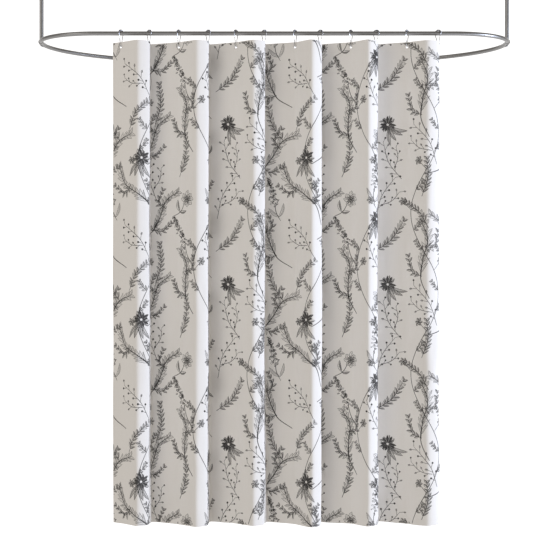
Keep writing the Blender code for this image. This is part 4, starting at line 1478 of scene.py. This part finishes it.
def make_screws(colours):
    """Ceiling screws, set screws, drop screws and grub screws."""
    steel = screw_steel(colours.steel)
    tree = form_tree()

    def fit(name, profile, recess, depth, nodes, place, lay):
        form = put(name + "_form", recessed_head(profile, recess, depth), steel)
        form.data.transform(Vector((0, 0, 1)).rotation_difference(
            Vector((1, 0, 0))).to_matrix().to_4x4())
        spots = [place(*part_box(node)) for node in nodes]
        mesh = scattered(name, tree, spots, [lay] * len(spots),
                         {"Form": form, "Material": steel})
        bpy.data.objects.remove(form)
        put(name, mesh, None, "rail", nodes)

    def under(low, high):
        return ((low.x + high.x) / 2, (low.y + high.y) / 2, low.z)

    names = [name for _, name in SIDES]
    head = [(0, 0), (0.0016, 0.0), (0.0026, 0.0004), (0.0034, 0.0011), (0.0038, 0.0022),
            (0.0016, 0.0022)]
    body = threaded(0.0019, 0.0024, 0.0262, 0.0014)
    fit("ceiling_screws", head + body + [(0.0008, 0.0300), (0, 0.0342)], 0.0014, 0.0011,
        [f"ceiling_screw_{name}_{i}" for name in names for i in (1, 2, 3)], under,
        (0, 0, 1))
    fit("set_screws", [(0, 0), (0.0017, 0), (0.002, 0.0003), (0.002, 0.0026),
                       (0.0016, 0.003), (0, 0.003)], 0.001, 0.0012,
        [f"coupler_set_screw_{name}_{end}" for name in names for end in ("front", "back")],
        under, (0, 0, 1))
    head = [(0, 0), (0.0026, 0), (0.0038, 0.0005), (0.0046, 0.0015), (0.0046, 0.0028),
            (0.0022, 0.0028)]
    low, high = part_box("drop_screw_left")
    reach = high.z - low.z
    body = threaded(0.0025, 0.003, reach - 0.002, 0.001)
    fit("drop_screws", head + body + [(0.0016, reach), (0, reach)], 0.0018, 0.0017,
        [f"drop_screw_{name}" for name in names], under, (0, 0, 1))

    def behind(low, high):
        return ((low.x + high.x) / 2, high.y, (low.z + high.z) / 2)

    fit("grub_screws", [(0, 0), (0.0017, 0), (0.002, 0.0003), (0.002, 0.0041),
                        (0.0014, 0.0045), (0, 0.0045)], 0.001, 0.0015,
        [f"flange_grub_screw_{name}" for name in names], behind, (0, -1, 0))


# ------------------------------------------------------------------------ stage


def make_stage(sizes, colours):
    """A pale floor that sweeps up into a backdrop, soft lights and the camera."""
    scene = bpy.context.scene
    scene.view_settings.view_transform = "Standard"
    finish = Finish("studio_paper", Specular_IOR_Level=0.1)
    mottle = finish.noise(finish.place((0.8, 0.8, 0.8), by_uv=False), 1.0, 2.0)
    finish.set("Base Color", finish.blend(mottle, shade(colours.paper, 0.99),
                                          shade(colours.paper, 1.0)))
    finish.set("Roughness", 0.9)
    finish.set("Emission Color", (1, 1, 1, 1))
    finish.set("Emission Strength", sizes.paper_glow)
    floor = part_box("curtain_panel")[0].z - sizes.floor_gap
    bend, far, wide, tall = 1.5, 10.0, 14.0, 8.0
    profile = [(-10.0, floor), (far - bend, floor)]
    for t in np.linspace(0, math.pi / 2, 16)[1:]:
        profile.append((far - bend + bend * math.sin(t), floor + bend * (1 - math.cos(t))))
    profile.append((far, floor + tall))
    points = [(x, y, z) for y, z in profile for x in (-wide, wide)]
    faces = [(2 * i, 2 * i + 1, 2 * i + 3, 2 * i + 2) for i in range(len(profile) - 1)]
    sweep = put("studio_sweep", mesh_of("studio_sweep", points, faces), finish.material)
    sweep.visible_diffuse = False  # the room lights the cloth evenly instead
    sweep.visible_shadow = False

    world = bpy.data.worlds.new("studio")
    world.use_nodes = True
    ground = world.node_tree.nodes["Background"]
    ground.inputs["Color"].default_value = (*colours.room, 1)
    ground.inputs["Strength"].default_value = sizes.room_light
    scene.world = world

    def lamp(name, place, aim, power, size, colour):
        light = bpy.data.lights.new(name, "AREA")
        light.shape, light.size, light.energy = "SQUARE", size, power
        light.color = colour
        thing = bpy.data.objects.new(name, light)
        thing.location = place
        way = Vector(aim) - Vector(place)
        thing.rotation_euler = way.to_track_quat("-Z", "Y").to_euler()
        scene.collection.objects.link(thing)

    middle = (0.02, RUN_Y, -1.35)
    lamp("key_light", (5.6, -2.3, -0.9), middle, sizes.key_power, 1.6, colours.key)
    lamp("front_light", (-4.4, -4.4, 1.0), middle, sizes.front_power, 3.5, colours.front)

    camera = bpy.data.cameras.new("camera")
    camera.lens, camera.shift_y = sizes.lens, sizes.lens_shift
    eye = bpy.data.objects.new("camera", camera)
    eye.location = (0.003, -4.79, -1.34)
    eye.rotation_euler = (math.pi / 2, 0, 0)
    scene.collection.objects.link(eye)
    scene.camera = eye


# ---------------------------------------------------------------------- add-on


class CurtainSizes(bpy.types.PropertyGroup):
    """Sizes of the cloth's hems, stitches and mesh."""

    side_hem: FloatProperty(name="Side hem", description="Width of each side hem",
                            default=0.010, unit="LENGTH")
    bottom_hem: FloatProperty(name="Bottom hem", description="Height of the bottom hem",
                              default=0.024, unit="LENGTH")
    stitch_pitch: FloatProperty(name="Stitch pitch", description="One stitch to the next",
                                default=0.0032, unit="LENGTH", precision=4)
    thread_width: FloatProperty(name="Thread width", description="Width of the thread",
                                default=0.0006, unit="LENGTH", precision=4)
    columns_per_ring: IntProperty(name="Columns", default=34,
                                  description="Mesh columns between two buttonholes")
    rows: IntProperty(name="Rows", default=84, description="Mesh rows below the header")


class RingSizes(bpy.types.PropertyGroup):
    """Sizes of the roller rings."""

    wire_radius: FloatProperty(name="Wire radius", default=0.0014, unit="LENGTH",
                               description="Radius of the ring's wire", precision=4)
    ball_radius: FloatProperty(name="Ball radius", default=0.0036, unit="LENGTH",
                               description="Radius of a roller ball", precision=4)


class RailSizes(bpy.types.PropertyGroup):
    """How finely the rail is made."""

    tube_sides: IntProperty(name="Tube sides", default=32,
                            description="Sides of each tube and sleeve")


class StageSizes(bpy.types.PropertyGroup):
    """The studio's light and camera."""

    floor_gap: FloatProperty(name="Floor gap", description="From the hem to the floor",
                             default=0.20, unit="LENGTH")
    paper_glow: FloatProperty(name="Paper glow", default=0.62,
                              description="How much the backdrop lights itself")
    room_light: FloatProperty(name="Room light", default=0.54,
                              description="Strength of the light from all round")
    key_power: FloatProperty(name="Key power", default=345.0, unit="POWER",
                             description="Power of the light at the right")
    front_power: FloatProperty(name="Front power", default=75.0, unit="POWER",
                               description="Power of the soft light in front")
    lens: FloatProperty(name="Lens", description="Focal length of the camera in mm",
                        default=79.3)
    lens_shift: FloatProperty(name="Lens shift", description="Shift of the view upwards",
                              default=0.011)


def colour_property(name, description, default):
    return FloatVectorProperty(name=name, description=description, default=default,
                               subtype="COLOR", size=3, min=0, max=1)


class CurtainColours(bpy.types.PropertyGroup):
    """Colours of every finish."""

    cloth: colour_property("Cloth", "Ground of the printed cloth", (0.80, 0.775, 0.745))
    tape: colour_property("Tape", "Band behind the header", (0.80, 0.79, 0.76))
    thread: colour_property("Thread", "Sewing thread", (0.74, 0.72, 0.69))
    ink: colour_property("Ink", "Dark lines of the print", (0.030, 0.029, 0.030))
    ink_worn: colour_property("Worn ink", "Dark lines where little ink took",
                              (0.12, 0.115, 0.11))
    wash: colour_property("Wash", "Grey shading of the print", (0.16, 0.155, 0.15))
    wash_worn: colour_property("Worn wash", "Grey shading where little ink took",
                               (0.36, 0.35, 0.335))
    ghost: colour_property("Show-through", "Print seen on the reverse",
                           (0.50, 0.485, 0.465))
    nickel: colour_property("Nickel", "Brushed rail and fittings", (0.225, 0.222, 0.22))
    chrome: colour_property("Chrome", "Ring wire", (0.40, 0.40, 0.41))
    balls: colour_property("Balls", "Roller balls", (0.20, 0.20, 0.21))
    steel: colour_property("Steel", "Screws", (0.30, 0.30, 0.31))
    paper: colour_property("Paper", "Floor and backdrop", (0.92, 0.92, 0.92))
    room: colour_property("Room", "Light from all round", (1.0, 0.955, 0.90))
    key: colour_property("Key", "Light at the right", (0.72, 0.81, 1.0))
    front: colour_property("Front", "Soft light in front", (1.0, 0.97, 0.93))


class CURTAIN_OT_cloth(bpy.types.Operator):
    """Make the printed curtain with its hems, tape, print and stitching"""

    bl_idname = "curtain.cloth"
    bl_label = "Printed curtain"

    def execute(self, context):
        make_curtain(context.scene.curtain_sizes, context.scene.curtain_colours)
        return {"FINISHED"}


class CURTAIN_OT_rings(bpy.types.Operator):
    """Make the twelve wire rings and their roller balls"""

    bl_idname = "curtain.rings"
    bl_label = "Roller rings"

    def execute(self, context):
        make_rings(context.scene.ring_sizes, context.scene.curtain_colours)
        return {"FINISHED"}


class CURTAIN_OT_rail(bpy.types.Operator):
    """Make the oval rail, its sleeves, the hanging tubes and the ceiling plates"""

    bl_idname = "curtain.rail"
    bl_label = "Oval rail"

    def execute(self, context):
        make_rail(context.scene.rail_sizes, context.scene.curtain_colours)
        return {"FINISHED"}


class CURTAIN_OT_screws(bpy.types.Operator):
    """Make every screw of the rail and its ceiling plates"""

    bl_idname = "curtain.screws"
    bl_label = "Screws"

    def execute(self, context):
        make_screws(context.scene.curtain_colours)
        return {"FINISHED"}


class CURTAIN_OT_stage(bpy.types.Operator):
    """Make the floor, the backdrop, the lights and the camera"""

    bl_idname = "curtain.stage"
    bl_label = "Studio"

    def execute(self, context):
        make_stage(context.scene.stage_sizes, context.scene.curtain_colours)
        return {"FINISHED"}


OPERATORS = (CURTAIN_OT_stage, CURTAIN_OT_rail, CURTAIN_OT_screws, CURTAIN_OT_rings,
             CURTAIN_OT_cloth)
GROUPS = (("curtain_sizes", CurtainSizes), ("ring_sizes", RingSizes),
          ("rail_sizes", RailSizes), ("stage_sizes", StageSizes),
          ("curtain_colours", CurtainColours))


class CURTAIN_PT_panel(bpy.types.Panel):
    """The curtain's tools, in the 3D view's sidebar"""

    bl_label = "Shower curtain"
    bl_space_type = "VIEW_3D"
    bl_region_type = "UI"
    bl_category = "Curtain"

    def draw(self, context):
        for operator in OPERATORS:
            self.layout.operator(operator.bl_idname)
        for name, group in GROUPS:
            box = self.layout.box()
            for item in group.__annotations__:
                box.prop(getattr(context.scene, name), item)


def register():
    for name, group in GROUPS:
        bpy.utils.register_class(group)
        setattr(bpy.types.Scene, name, PointerProperty(type=group))
    for thing in (*OPERATORS, CURTAIN_PT_panel):
        bpy.utils.register_class(thing)


def unregister():
    for thing in (CURTAIN_PT_panel, *reversed(OPERATORS)):
        bpy.utils.unregister_class(thing)
    for name, group in reversed(GROUPS):
        delattr(bpy.types.Scene, name)
        bpy.utils.unregister_class(group)


def main():
    register()
    for operator in (bpy.ops.curtain.stage, bpy.ops.curtain.rail, bpy.ops.curtain.screws,
                     bpy.ops.curtain.rings, bpy.ops.curtain.cloth):
        operator()


if __name__ == "__main__":
    main()
